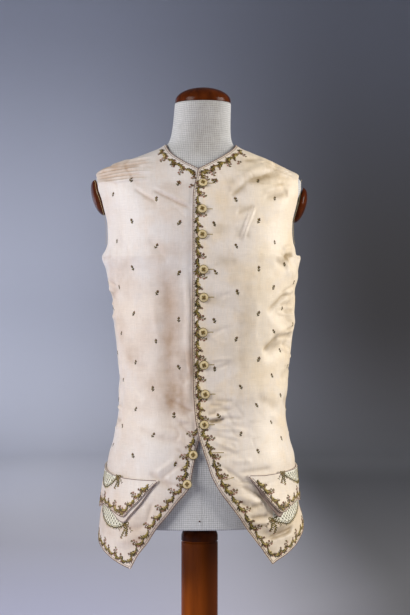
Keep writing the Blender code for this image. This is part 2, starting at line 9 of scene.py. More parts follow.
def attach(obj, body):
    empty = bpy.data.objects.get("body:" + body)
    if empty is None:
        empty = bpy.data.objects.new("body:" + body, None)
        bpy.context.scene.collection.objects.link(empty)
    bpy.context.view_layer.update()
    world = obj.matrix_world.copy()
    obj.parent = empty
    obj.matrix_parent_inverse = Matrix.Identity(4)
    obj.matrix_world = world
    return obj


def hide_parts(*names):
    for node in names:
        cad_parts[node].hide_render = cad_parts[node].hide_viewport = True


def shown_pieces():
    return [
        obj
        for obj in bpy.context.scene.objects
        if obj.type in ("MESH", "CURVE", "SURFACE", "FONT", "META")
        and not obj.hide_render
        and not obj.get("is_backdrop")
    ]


# An embroidered silk waistcoat on a linen-covered dress form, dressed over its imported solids.
# Metres in the scene; the tables and dictionaries below are in millimetres.
# s is the distance round the body from the middle of the front, minus to the wearer's right.

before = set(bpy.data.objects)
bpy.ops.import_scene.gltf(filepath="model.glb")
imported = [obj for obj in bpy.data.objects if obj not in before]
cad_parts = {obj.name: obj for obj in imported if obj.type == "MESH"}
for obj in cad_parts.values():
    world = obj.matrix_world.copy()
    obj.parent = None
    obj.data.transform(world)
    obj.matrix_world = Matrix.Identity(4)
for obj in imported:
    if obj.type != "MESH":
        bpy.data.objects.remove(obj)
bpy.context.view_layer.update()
mm = 0.001

# the form's sections: z, half breadth right, left, depth front, back, squareness, shift of x
formSections = [
    (250, 157, 157, 114, 112, 2.3, 0), (300, 156, 156, 114, 112, 2.3, 0),
    (350, 151, 151, 111, 107, 2.3, 0), (400, 142, 142, 106, 98, 2.3, 0),
    (450, 134, 134, 102, 87, 2.3, 0), (500, 134, 134, 102, 81, 2.3, 0),
    (560, 138, 138, 106, 81, 2.3, 0), (620, 143, 143, 112, 87, 2.3, 0),
    (680, 152, 152, 116, 97, 2.3, 0), (730, 158.5, 158.5, 116, 105, 2.3, 0),
    (770, 162, 161, 112, 109, 2.3, 0), (805, 173, 171, 104, 108, 2.25, 0),
    (830, 181, 178, 95, 103, 2.2, 0), (844, 182, 178, 88, 98, 2.15, 0),
    (851, 179, 173, 84, 95, 2.1, 0), (858, 173, 164, 80, 92, 2.1, 0),
    (864, 163, 151, 77, 89, 2.05, 0), (873, 140, 132, 72, 84, 2, 0),
    (883, 112, 112, 66, 77, 2, 0), (894, 84, 84, 60, 69, 2, 0.5),
    (903, 65, 65, 55, 61, 2, 1), (912, 56, 56, 52, 55, 2, 1.6),
    (926, 52, 52, 50, 51, 2, 2.6), (950, 50, 50, 49.5, 49.5, 2, 4.2),
    (982, 49, 49, 49, 49, 2, 6),
]
# how far the cloth's face stands off the form: z, right, left, front, back
easeRows = [
    (186, 20, 25, 22, 9), (224, 19, 26, 21, 9), (257, 17.5, 24, 19, 9),
    (285, 13.5, 17.5, 17, 9), (313, 11.5, 14.5, 15, 8.5), (341, 10, 15, 13, 8),
    (369, 10, 17.5, 11, 7.5), (397, 7.5, 14.5, 9, 7), (425, 7.5, 15, 8, 6.5),
    (453, 7, 17, 7.5, 6.5), (495, 8, 20.5, 7, 6.5), (551, 7, 22, 7, 6.5),
    (607, 9, 23, 6.5, 6.5), (635, 6, 22, 6.5, 6.5), (662, 8.5, 18, 6.5, 6.5),
    (690, 10, 18.5, 6.5, 6.5), (711, 14, 20.5, 6.5, 6), (726, 9, 11, 6.5, 6),
    (755, 6, 6, 6.5, 6), (806, 5, 5, 6, 6), (836, 5, 5, 5.5, 6), (851, 6, 6.5, 5.5, 6),
    (858, 7, 8, 5.5, 6), (864, 10, 10, 5.5, 6.5), (873, 10.5, 10, 5.5, 7),
    (883, 9.5, 9.5, 5.5, 7), (894, 8.5, 8.5, 5.5, 6.5), (903, 6.5, 6.5, 5, 5.5),
    (909, 4.5, 4.5, 4, 4.5),
]


def unit(vectors):
    return vectors / np.maximum(np.linalg.norm(vectors, axis=-1, keepdims=True), 1e-9)


def curveThrough(rows, column=1):
    # a smooth curve through one column of a table over its first, with no overshoot
    at, value = np.array([(row[0], row[column]) for row in rows], float).T
    steps = np.diff(at)
    climbs = np.diff(value) / steps
    slope = np.empty_like(value)
    slope[0], slope[-1] = climbs[0], climbs[-1]
    for i in range(1, len(climbs)):
        before, after = climbs[i - 1], climbs[i]
        if before * after <= 0:
            slope[i] = 0
            continue
        w1, w2 = 2 * steps[i] + steps[i - 1], steps[i] + 2 * steps[i - 1]
        slope[i] = (w1 + w2) / (w1 / before + w2 / after)

    def read(x):
        x = np.clip(np.asarray(x, float), at[0], at[-1])
        i = np.clip(np.searchsorted(at, x) - 1, 0, len(at) - 2)
        t = (x - at[i]) / steps[i]
        bend = steps[i] * (slope[i] * t * (1 - t) ** 2 - slope[i + 1] * t * t * (1 - t))
        return value[i] + (value[i + 1] - value[i]) * t * t * (3 - 2 * t) + bend

    return read


def curvesOf(rows, *names):
    return {name: curveThrough(rows, column) for column, name in enumerate(names, 1)}


form = curvesOf(formSections, "right", "left", "front", "back", "power", "shift")
ease = curvesOf(easeRows, "right", "left", "front", "back")


def sectionReach(takeFirst, first, second, z, clothShare=1.0):
    # how far the section reaches to one side or to the other
    return np.where(takeFirst, form[first](z) + clothShare * ease[first](z),
                    form[second](z) + clothShare * ease[second](z))


def ringPoint(degrees, z, clothShare=1.0):
    # a point of the cloth's section at z, or of the form's where clothShare is 0
    degrees, z = np.broadcast_arrays(np.asarray(degrees, float), np.asarray(z, float))
    across, along = np.sin(np.radians(degrees)), np.cos(np.radians(degrees))
    breadth = sectionReach(across >= 0, "left", "right", z, clothShare)
    depth = sectionReach(along >= 0, "front", "back", z, clothShare)
    bend = 2 / form["power"](z)
    x = np.sign(across) * breadth * np.abs(across) ** bend + form["shift"](z)
    y = -np.sign(along) * depth * np.abs(along) ** bend
    return np.stack([x, y, z], -1)


def fullTurn(count):
    return np.linspace(0, math.tau, count + 1)[:-1]


def smooth(share):
    share = np.clip(share, 0, 1)
    return share * share * (3 - 2 * share)


def softNoise(x, y, size, seed):
    # smooth noise from -1 to 1, in blobs of about that size; it repeats after so many cells
    cells = 64
    lattice = np.random.default_rng(seed).uniform(-1, 1, (cells, cells))
    u, v = np.asarray(x, float) / size + 512.3, np.asarray(y, float) / size + 512.7
    i, j = np.floor(u).astype(int), np.floor(v).astype(int)
    fu, fv = smooth(u - i), smooth(v - j)
    i, j, nextI, nextJ = i % cells, j % cells, (i + 1) % cells, (j + 1) % cells
    a, b, c, d = lattice[i, j], lattice[nextI, j], lattice[i, nextJ], lattice[nextI, nextJ]
    return (a * (1 - fu) + b * fu) * (1 - fv) + (c * (1 - fu) + d * fu) * fv


# the cloth's plain surface as tables over s and z, and the distance round as one over degrees and z
surfaceStep = 2.0
surfaceZ = np.arange(180.0, 916.0, surfaceStep)
surfaceS = np.arange(-540.0, 541.0, surfaceStep)
ringReach, ringStep = 220.0, 0.5  # degrees
ringDegrees = np.linspace(-ringReach, ringReach, round(2 * ringReach / ringStep) + 1)
ringMiddle = len(ringDegrees) // 2
ringPoints = ringPoint(ringDegrees[None, :], surfaceZ[:, None])
girth = np.insert(np.cumsum(np.linalg.norm(np.diff(ringPoints, axis=1), axis=2), 1), 0, 0, 1)
girth -= girth[:, ringMiddle:ringMiddle + 1]
surfaceDegrees = np.stack([np.interp(surfaceS, row, ringDegrees) for row in girth])
surfacePoint = ringPoint(surfaceDegrees, surfaceZ[:, None])
stepAcross = np.gradient(surfacePoint, surfaceStep, axis=1)
stepUp = np.gradient(surfacePoint, surfaceStep, axis=0)
unitAcross = unit(stepAcross)
surfaceNormal = unit(np.cross(unitAcross, stepUp))
slant = (unitAcross * stepUp).sum(2)
climb = np.linalg.norm(stepUp - unitAcross * slant[..., None], axis=2)


def readTable(table, i, j):
    # a table's value between its rows i and its columns j
    i, j = np.clip(i, 0, table.shape[0] - 1.001), np.clip(j, 0, table.shape[1] - 1.001)
    i0, j0 = i.astype(int), j.astype(int)
    fi, fj = i - i0, j - j0
    if table.ndim == 3:
        fi, fj = fi[..., None], fj[..., None]
    low = table[i0, j0] * (1 - fj) + table[i0, j0 + 1] * fj
    high = table[i0 + 1, j0] * (1 - fj) + table[i0 + 1, j0 + 1] * fj
    return low * (1 - fi) + high * fi


def readSurface(table, s, z):
    return readTable(table, (np.asarray(z, float) - surfaceZ[0]) / surfaceStep,
                     (np.asarray(s, float) - surfaceS[0]) / surfaceStep)


def onSurface(s, z, lift):
    # the place that stands a lift off the plain surface
    return readSurface(surfacePoint, s, z) + readSurface(surfaceNormal, s, z) * lift[..., None]


def layOf(s, z):
    # the cloth's own flat coordinates, in metres
    return np.stack([s, z, np.zeros_like(s)], -1).reshape(-1, 3) * mm


def roundTo(degrees, z):
    # distance round, at the angle
    return readTable(girth, (np.asarray(z, float) - surfaceZ[0]) / surfaceStep,
                     (np.asarray(degrees, float) + ringReach) / ringStep)


def roundToX(x, z):
    # distance round, on the front half, of the point x from the middle
    x, z = np.asarray(x, float), np.asarray(z, float)
    share = np.minimum(np.abs(x) / sectionReach(x >= 0, "left", "right", z), 1)
    degrees = np.sign(x) * np.degrees(np.arcsin(share ** (form["power"](z) / 2)))
    return roundTo(degrees, z)


# the large folds: s and z of both ends, width, depth (minus is a trough)
mainFolds = [
    (40, 796, 160, 832, 16, -1.4), (70, 768, 175, 815, 15, 1), (160, 706, 228, 715, 10, -8.5),
    (150, 690, 222, 672, 14, 3), (120, 606, 205, 642, 12, -5), (105, 540, 200, 575, 12, -5),
    (130, 575, 215, 605, 13, 3.5), (25, 413, 90, 424, 9, -2), (-215, 845, -95, 868, 9, -1.6),
    (-215, 826, -100, 848, 9, 1.8), (-205, 690, -165, 560, 14, 3),
    (-235, 520, -150, 470, 16, -2.5), (60, 262, 120, 236, 12, -4),
    (-110, 300, -150, 215, 16, 3), (120, 300, 165, 225, 16, 3),
    (-300, 640, -400, 520, 20, -3), (300, 640, 400, 510, 20, -3),
    (-330, 420, -380, 300, 24, 3.5), (330, 430, 380, 300, 24, 3.5),
    (290, 760, 360, 800, 16, -2.5), (-290, 765, -360, 805, 16, -2.5),
]
fineCreases = [  # the same measures
    # the right front: a long diagonal from the armhole, drags at the waist, a roll by the edge
    (-118, 826, -78, 801, 2.6, -1.8), (-86, 824, -18, 790, 2.1, -2.7), (-82, 831, -22, 797, 3.4, 1.5),
    (-60, 808, -30, 776, 3.4, -0.9), (-215, 706, -172, 712, 4, -1.4), (-62, 700, -52, 420, 13, -1.9),
    (-27, 690, -25, 450, 5.5, 1.7), (-32, 560, -24, 500, 3, -0.8), (-210, 640, -160, 655, 6, -1.2),
    (-215, 585, -170, 600, 6, -1.2), (-58, 468, -16, 450, 3.4, -1.2), (-52, 442, -14, 430, 3, 1),
    (-120, 420, -40, 398, 7, -1.1), (-180, 398, -120, 372, 8, 1.3), (-150, 545, -90, 520, 9, -1.1),
    (-42, 430, -12, 404, 3, -1.7), (-44, 406, -16, 386, 2.6, 1.1), (-46, 388, -18, 366, 2.8, -1.5),
    (-42, 366, -22, 350, 2.4, 1), (-34, 422, -24, 372, 2.2, -1),
    (-82, 345, -40, 374, 4, 1.3), (-74, 338, -38, 362, 3.6, -1.2), (-132, 500, -100, 470, 5, -0.9),
    (-96, 742, -60, 700, 5, -0.8), (-150, 760, -120, 700, 7, 0.9), (-90, 640, -70, 560, 6, 0.9),
    # the left front: the open slit, then chest and underarm
    (11, 432, 36, 437, 2.3, -3.4), (10, 438, 38, 443, 3.2, 2),
    (46, 812, 78, 838, 5, -2.6), (72, 838, 138, 860, 5.6, -3), (66, 848, 134, 872, 6.5, 2.8),
    (42, 824, 70, 848, 6, 2), (108, 810, 156, 823, 4.4, -2.4), (104, 820, 150, 834, 5.5, 1.8),
    (56, 783, 88, 800, 4, -2), (89, 800, 66, 738, 3, 2), (82, 796, 58, 734, 3.4, -0.9),
    (72, 877, 120, 884, 3.6, -1.8), (138, 842, 156, 812, 3.4, -1.4),
    (100, 870, 150, 876, 3, 0.9), (148, 709, 186, 717, 4.6, -5.4), (146, 723, 180, 731, 4.4, 2.2),
    (126, 705, 160, 690, 6, -1.4),
    # the drags at the waist
    (115, 614, 166, 653, 6, -4), (105, 549, 140, 577, 5.2, -4.2), (134, 573, 180, 580, 4.6, -3),
    (110, 562, 150, 590, 5, 1.4), (148, 500, 205, 528, 7, -1.8), (160, 470, 210, 455, 8, -1.6),
    (90, 472, 150, 452, 9, -1.2), (120, 440, 180, 418, 8, 1.3), (60, 620, 66, 500, 7, -0.8),
    (92, 640, 88, 560, 6, 0.8),
    # pulls at the lowest buttons
    (18, 469, 52, 466, 2.8, -1.4), (10, 461, 33, 461, 2.4, -1.5), (11, 453, 50, 452, 2.8, -1.3),
    (22, 440, 70, 437, 3, -1.3), (7, 445, 24, 448, 2.6, -2.4), (8, 432, 26, 436, 2.8, -2.8),
    (12, 424, 74, 417, 3.2, 1.3), (12, 410, 62, 398, 3.2, -1.3), (16, 400, 58, 384, 3.4, 1),
    (10, 520, 46, 531, 3, -1.1), (10, 536, 52, 540, 2.8, 0.8), (10, 576, 42, 592, 3.2, -1),
    (10, 634, 46, 649, 3, -1), (22, 386, 60, 380, 3, -1),
    # the skirts
    (62, 324, 112, 302, 4.6, -2.4), (56, 312, 106, 290, 5, 1.8), (79, 288, 104, 294, 4, -2.6),
    (78, 272, 114, 275, 3.2, -3.2), (84, 264, 116, 262, 4, 1.8), (112, 235, 170, 253, 5.4, -4.6),
    (104, 250, 168, 264, 5, 2.4), (96, 226, 140, 240, 5, 1.6), (56, 348, 122, 354, 3.6, -1.6),
    (36, 356, 74, 328, 3.6, -1.7), (46, 368, 84, 366, 4.4, 1.3), (22, 374, 66, 381, 3, -1.2),
    (64, 300, 84, 280, 3.4, -1.4), (-95, 262, -150, 250, 6, -1.4), (-100, 240, -160, 228, 7, 1.4),
    (-48, 318, -92, 350, 4.6, -1.3), (-215, 320, -240, 235, 8, -1.8), (228, 320, 240, 240, 8, -2),
    (-86, 300, -98, 262, 4, -1.1), (-66, 296, -104, 318, 4, 0.9),
    # the backs
    (-470, 470, -360, 430, 9, -1.8), (470, 480, 350, 440, 9, -1.8),
    (-470, 500, -340, 486, 8, 1.5), (470, 512, 345, 500, 8, 1.5),
    (-320, 700, -400, 640, 10, -2), (320, 700, 402, 645, 10, -2),
    (-330, 820, -430, 850, 8, -1.6), (335, 822, 430, 850, 8, -1.6),
    (-450, 350, -430, 268, 10, 2), (445, 352, 420, 268, 10, 2),
    (-300, 590, -360, 560, 6, -1.6), (300, 585, 362, 552, 6, -1.6),
    (-250, 700, -290, 640, 7, -1.6), (250, 700, 292, 636, 7, -1.6),
]


def gatheredCreases():
    # fans of fine wrinkles: at the shoulders, where they are deeper, and where the sides are drawn in
    rng = random.Random(17)
    shoulderGain = 1.6
    fans = [  # start s, z from and to, end s, z from and to, how many
        (-204, 836, 872, -96, 842, 886, 13), (168, 846, 868, 110, 862, 886, 6),
        (196, 606, 668, 150, 612, 652, 8), (196, 540, 600, 152, 556, 588, 6),
        (-214, 600, 680, -176, 606, 664, 6), (-205, 410, 470, -160, 420, 462, 4),
        (240, 380, 560, 205, 396, 548, 7), (-300, 380, 560, -262, 396, 548, 7),
        (300, 390, 560, 262, 400, 540, 7),
    ]
    rows = []
    for s0, low0, high0, s1, low1, high1, count in fans:
        for i in range(count):
            t = (i + rng.uniform(0.2, 0.8)) / count
            gain = shoulderGain if low0 > 830 else 1
            rows.append((s0, low0 + (high0 - low0) * t, s1 + rng.uniform(-14, 14),
                         low1 + (high1 - low1) * t, rng.uniform(1.9, 2.8),
                         rng.uniform(1.1, 1.9) * (-1 if i % 2 else 0.9) * gain))
    return rows


fineCreases += gatheredCreases()
# the closed buttons' places down the front, z and x
buttonRows = [(833.5, 0.3), (789.5, -2), (747, -2.3), (688.5, -0.5), (642, 0.2), (583.5, -0.8),
              (528.5, 1.2), (479, 3.2), (427.5, 1.6)]
openButtonRows = [(378, -17.2), (329.5, -27.8)]


def addCrease(total, s, z, crease, wobble=1.0):
    # adds one crease's depth to the total, only where it reaches
    s0, z0, s1, z1, width, depth = crease
    reach = 3 * width
    near = ((s > min(s0, s1) - reach) & (s < max(s0, s1) + reach)
            & (z > min(z0, z1) - reach) & (z < max(z0, z1) + reach))
    if not near.any():
        return
    ps, pz = s[near], z[near]
    runS, runZ = s1 - s0, z1 - z0
    squared = runS ** 2 + runZ ** 2
    length = math.sqrt(squared)
    t = ((ps - s0) * runS + (pz - z0) * runZ) / squared
    sway = wobble * 0.5 * width * softNoise(ps, pz, 34, int(abs(s0) + z0))
    side = ((ps - s0) * runZ - (pz - z0) * runS) / length + sway
    away = np.hypot(side, np.maximum(np.abs(t - 0.5) - 0.5, 0) * length) / width
    taper = smooth(0.15 + np.minimum(t, 1 - t) * 4)
    total[near] += depth * taper * np.exp(-away * away)


# where the silk is most crumpled: s, z, reach in s, reach in z, strength
crumpledRows = [
    (-34, 360, 42, 110, 0.9), (45, 400, 60, 85, 0.8), (80, 300, 55, 60, 1), (90, 850, 75, 40, 0.8),
    (-150, 858, 70, 30, 0.9), (-95, 230, 60, 50, 0.65), (190, 600, 45, 150, 0.9),
    (-205, 560, 40, 190, 0.7), (130, 235, 60, 40, 1), (175, 700, 40, 40, 0.7),
    (-60, 800, 60, 30, 0.4), (60, 640, 60, 170, 0.25), (-40, 620, 50, 180, 0.25),
    (390, 500, 120, 240, 0.5), (-390, 500, 120, 240, 0.5),
]
crumpleValues = {"least": 0.12, "lineWidth": 0.13, "finerWidth": 0.16, "finer": 0.6}


def crumple(s, z):
    # 0 to 1: thin wandering lines where old silk has been creased
    v = crumpleValues
    strength = np.full(np.shape(s), v["least"])
    for s0, z0, ws, wz, most in crumpledRows:
        away = np.hypot((s - s0) / ws, (z - z0) / wz)
        strength = np.maximum(strength, most * (1 - smooth((away - 0.5) / 0.8)))
    lines = np.exp(-(softNoise(s + 0.4 * z, z * 1.25, 30, 21) / v["lineWidth"]) ** 2)
    finer = np.exp(-(softNoise(s - 0.3 * z, z * 1.4, 21, 22) / v["finerWidth"]) ** 2)
    broken = smooth(0.5 + 1.4 * softNoise(s, z, 26, 23))
    return strength * (lines * broken + v["finer"] * finer * (1 - broken))


creaseValues = {"gain": 1.35, "crumple": 1.05, "uneven": 0.42, "fine": 0.22, "finest": 0.09,
                "mostIn": 2.5, "mostInBelow": 6.0, "chest": 800.0}
# small pulls from each buttonhole: both ends from the button, how the far end turns, width, depth
buttonPulls = [(9, 1, 32, 5, 1, 2.4, -0.7), (10, -5, 27, -11, 1, 2.6, 0.5),
               (-21, 2, -40, 6, -1, 2.8, -0.5)]


def creaseAt(s, z):
    # how far folds, creases and the silk's own unevenness push the cloth out
    v = creaseValues
    s, z = np.broadcast_arrays(np.asarray(s, float), np.asarray(z, float))
    total = np.zeros(s.shape)
    for fold in mainFolds:
        addCrease(total, s, z, fold, wobble=0.0)
    for crease in fineCreases:
        addCrease(total, s, z, (*crease[:5], v["gain"] * crease[5]))
    total -= v["crumple"] * crumple(s, z)
    for i, (zb, xb) in enumerate(buttonRows):
        turn = (i * 37 % 23 - 11) * 0.5  # each button pulls its own way
        for s0, z0, s1, z1, way, width, depth in buttonPulls:
            pull = (xb + s0, zb + z0, xb + s1, zb + z1 + way * turn, width, depth)
            addCrease(total, s, z, pull)
    calm = 0.25 + 0.75 * smooth((np.abs(s) - 30) / 60)
    total += v["uneven"] * calm * softNoise(s, z * 0.8, 31, 5) + v["fine"] * softNoise(s, z, 12, 6)
    total += v["finest"] * softNoise(s * 0.6, z * 1.5, 6, 7)
    # over the chest and shoulders the form lies close under the cloth
    most = v["mostIn"] + v["mostInBelow"] * smooth((v["chest"] - z) / 60)
    return np.where(total < 0, most * np.tanh(total / most), total)


overlap = {"edge": 9.0, "fade": 55.0, "rise": 2.3, "partsBelow": 410.0}


def overlapLift(s, z):
    # the left front rides over the right one, and comes back down past its edge
    x = readSurface(surfacePoint, s, z)[..., 0]
    parted = smooth((overlap["partsBelow"] - np.asarray(z, float)) / 60)
    return overlap["rise"] * (1 - smooth((x - overlap["edge"]) / overlap["fade"])) * (1 - parted)


# where the panels' edges turn: degrees of both seams, heights, and half of the gap at a seam
sideSeam, shoulderSeam, middleBack, seamHalf = 100.0, 94.0, 180.0, 0.12
ventTop, underarm, shoulderTip, neckPoint, backNeck = 332.0, 711.0, 858.0, 908.5, 893.0
ventSpread, ventReach = 5.0, 68.0

# each front: z and x of its inner edge, then z and degrees of its hem and of its armhole
fronts = {
    "left": {
        "sign": 1, "hemLow": 192.8, "hemTop": 260.0, "rollTop": 392, "rollDepth": -2.0,
        "edge": curveThrough([
            (192, 117.5), (217, 100), (236, 86.5), (256, 72), (281, 54), (294, 44), (316, 27.5),
            (332, 18.2), (345, 12), (367, 5.2), (384, -0.7), (413, -8.9), (440, -13.8),
            (505, -17.5), (588, -18.8), (746, -18.6), (810, -17.6), (830, -14.8), (846, -10.2),
            (861, -6.2), (862.5, -3), (872, 16), (885, 37.5), (898, 54), (908.5, 61)]),
        "hem": curveThrough([
            (192, 37), (198, 41), (205, 47.5), (213, 54.5), (222, 61.5), (232, 68), (243, 77),
            (254, 89), (260, sideSeam)]),
        "armhole": curveThrough([
            (711, sideSeam), (712.5, 92), (717, 84), (725, 78), (736, 71.5), (755, 71),
            (780, 70.5), (806, 69.5), (828, 66), (844, 66), (852, 73), (855.8, 81),
            (858, shoulderSeam)])},
    "right": {
        "sign": -1, "hemLow": 186.6, "hemTop": 229.0, "rollTop": 428, "rollDepth": -4.5,
        "edge": curveThrough([
            (186, -122), (211, -109), (228, -96.5), (257, -78), (276, -61.8), (300, -43),
            (316, -28.8), (326, -22.4), (343, -19.6), (368, -14.6), (384, -11.5), (400, -7),
            (420, -1), (445, 5), (846, 5), (858, 3), (861.5, -5.5), (870, -22.5), (875.5, -32.5),
            (889, -51), (897.5, -57), (908.5, -60.5)]),
        "hem": curveThrough([
            (186, 41), (189, 45.5), (196, 54.5), (205, 65), (215, 77), (223, 89),
            (229, sideSeam)]),
        "armhole": curveThrough([
            (711, sideSeam), (712.5, 92), (717, 84), (725, 77.5), (736, 73), (755, 73), (780, 73),
            (806, 71), (828, 70), (844, 72), (852, 78), (855.8, 84), (858, shoulderSeam)])},
}
backArmhole = curveThrough([
    (711, sideSeam), (713, 107), (718, 115), (726, 121), (736, 124.5), (755, 127), (790, 127),
    (820, 124), (840, 118), (852, 109), (855.8, 102), (858, shoulderSeam)])
backNeckline = curveThrough([(893, 180), (894.5, 160), (898, 140), (903, 122), (908.5, 106)])


def outerDegrees(z, low, armhole):
    # a panel's outer edge: hem or vent, side, armhole, shoulder
    return np.where(z >= shoulderTip, shoulderSeam, np.where(z > underarm, armhole(z), low))


def frontInner(side, z):
    return roundToX(fronts[side]["edge"](z), z)


def frontOuter(side, z):
    v = fronts[side]
    z = np.asarray(z, float)
    degrees = outerDegrees(z, np.where(z < v["hemTop"], v["hem"](z), sideSeam), v["armhole"])
    return roundTo(v["sign"] * degrees, z) - v["sign"] * seamHalf


def backOuter(sign, z):
    z = np.asarray(z, float)
    vent = np.where(z < ventTop, sideSeam + ventSpread * smooth((ventTop - z) / ventReach), sideSeam)
    return roundTo(sign * outerDegrees(z, vent, backArmhole), z) + sign * seamHalf


def backInner(sign, z):
    z = np.asarray(z, float)
    middle = np.where(z > backNeck, np.minimum(backNeckline(z), middleBack), middleBack)
    return roundTo(sign * middle, z) - sign * seamHalf


rollValues = {"low": 205.0, "width": 6.5}


def rolledIn(side, s, z):
    # below the crossing the fronts' edges turn in towards the form
    v = fronts[side]
    z = np.asarray(z, float)
    away = np.abs(s - frontInner(side, z))
    parted = smooth((v["rollTop"] - z) / 40) * smooth((z - rollValues["low"]) / 60)
    return v["rollDepth"] * parted * np.exp(-(away / rollValues["width"]) ** 2)


def frontLift(side, s, z):
    # how far a front stands off the plain surface
    extra = rolledIn(side, s, z)
    return creaseAt(s, z) + (overlapLift(s, z) + extra if side == "left" else extra)


print("surface tables ready")


def rowHeights(stages):
    # each stage is (low, high, step)
    heights = [stages[0][0]]
    for low, high, step in stages:
        count = max(1, round((high - low) / step))
        heights += [low + (high - low) * (i + 1) / count for i in range(count)]
    return np.array(heights)


def link(obj):
    bpy.context.scene.collection.objects.link(obj)
    return obj


def gridFaces(rows, columns):
    i, j = np.meshgrid(np.arange(rows - 1), np.arange(columns - 1), indexing="ij")
    a = (i * columns + j).ravel()
    return np.stack([a, a + 1, a + columns + 1, a + columns], 1)


def meshFrom(name, points, faces, materials, kinds=None, attributes=None):
    # points in millimetres; faces as an array or a list
    mesh = bpy.data.meshes.new(name)
    mesh.from_pydata((np.asarray(points) * mm).tolist(), [], [list(f) for f in faces])
    for material in materials:
        mesh.materials.append(material)
    if kinds is not None:
        mesh.polygons.foreach_set("material_index", np.asarray(kinds, np.int32))
    for key, values in (attributes or {}).items():
        values = np.asarray(values, np.float32)
        flat = "FLOAT_VECTOR" if values.ndim == 2 else "FLOAT"
        data = mesh.attributes.new(key, flat, "POINT").data
        data.foreach_set("vector" if values.ndim == 2 else "value", values.ravel())
    mesh.shade_smooth()
    mesh.update()
    return link(bpy.data.objects.new(name, mesh))


def dress(obj, node=None):
    # a finished piece rides with the part, and takes the place of its solid where it has one
    if node:
        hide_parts(node)
    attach(obj, "root")
    return obj


# brown blotches, and painted shade in some folds as marked: s, z, reach in s, reach in z, strength
stainAndShadeRows = [
    (-134, 552, 24, 22, 0.34), (-91, 503, 26, 18, 0.26), (-39, 469, 24, 24, 0.55),
    (-20, 530, 9, 44, 0.50), (-52, 600, 22, 80, 0.30), (-62, 480, 26, 44, 0.34),
    (-160, 586, 16, 30, 0.26), (-65, 664, 26, 50, 0.20), (-33, 520, 14, 24, 0.42),
    (-151, 466, 20, 20, 0.16), (-56, 721, 34, 16, 0.16), (-146, 690, 34, 24, 0.28),
    (-150, 736, 12, 20, 0.12), (-46, 820, 26, 16, 0.20), (-110, 238, 26, 18, 0.26),
    (19, 638, 14, 9, 0.30), (44, 640, 20, 12, 0.16), (80, 640, 26, 20, 0.16), (46, 554, 20, 22, 0.18),
    (84, 468, 26, 20, 0.26), (118, 334, 24, 16, 0.22), (44, 303, 16, 14, 0.20),
    (30, 756, 14, 9, 0.34), (66, 750, 12, 14, 0.34), (30, 704, 20, 10, 0.36),
    (64, 866, 28, 12, 0.30), (94, 838, 24, 7, 0.42), (128, 560, 16, 9, 0.50),
    (120, 790, 26, 16, 0.16), (170, 600, 22, 50, 0.26), (196, 470, 26, 60, 0.22),
    # painted shade: (140, 245) darkens the left skirt's fold
    (140, 245, 26, 12, 0.24), (150, 872, 36, 8, 0.26), (-160, 872, 40, 8, 0.2),
    # painted shade: (166, 712) here and (157, 712), (176, 717) below darken the notch of the left
    # underarm's fold; (-185, 858) with (-150, 850) and (-120, 866) below darken the right shoulder's
    # pleats
    (166, 712, 10, 8, 0.60), (-180, 655, 12, 60, 0.20), (-185, 858, 42, 22, 0.24),
    (-150, 850, 60, 26, 0.10),
    (-150, 262, 90, 42, 0.24), (-215, 300, 60, 70, 0.26), (-190, 330, 60, 20, 0.12),
    (90, 262, 60, 60, 0.20), (160, 270, 80, 60, 0.26), (190, 330, 60, 24, 0.20),
    # painted shadow: (18, 433) darkens the open slit at the lowest buttonhole
    (76, 600, 12, 60, 0.24), (62, 560, 16, 90, 0.16), (18, 433, 15, 4, 1),
    # painted shade: the rows on this line and (72, 794) below darken the left chest's folds
    (104, 848, 34, 9, 0.50), (62, 828, 20, 10, 0.42), (132, 818, 24, 8, 0.36), (80, 876, 30, 7, 0.4),
    (72, 794, 20, 7, 0.3), (-60, 830, 34, 12, 0.2), (157, 712, 12, 10, 0.95), (176, 717, 12, 5, 0.9),
    (-120, 866, 60, 10, 0.2), (-40, 760, 30, 40, 0.10), (44, 790, 26, 40, 0.12),
    (-30, 330, 16, 60, 0.14), (30, 300, 20, 70, 0.16), (46, 690, 22, 30, 0.16),
]


def stainAndShadeAt(s, z):
    # 0 to 1: how brown the cloth is, in blotches with uneven edges, some of them painted shade in
    #         folds
    total = np.zeros(np.shape(s))
    for s0, z0, ws, wz, strength in stainAndShadeRows:
        sway = 0.35 * softNoise(s, z, 14, int(z0)) + 0.2 * softNoise(s, z, 6, int(z0) + 1)
        away = np.hypot((s - s0) / ws, (z - z0) / wz) + sway
        total += strength * (1 - smooth(away / 1.5))
    return np.clip(total, 0, 1)


troughShadeValues = {"deeperThan": 1, "width": 0.9, "troughs": 0.19, "crumpled": 0.32, "most": 0.85}


def troughShade(s, z):
    # painted shade: darker colour at the bottom of creases and along the crumpled lines, where shade
    # falls
    v = troughShadeValues
    total = np.zeros(np.shape(s))
    for *ends, width, depth in fineCreases:
        if depth < -v["deeperThan"]:
            addCrease(total, s, z, (*ends, width * v["width"], v["troughs"] * -depth))
    return np.clip(total + v["crumpled"] * crumple(s, z), 0, v["most"])


warmthValues = {"skirts": 0.55, "skirtTop": 325, "leftFrom": 45, "leftWaist": 500, "middle": 0.7,
                "rightTop": 700, "rightWaist": 450, "belowWaist": 0.6, "uneven": 0.3}


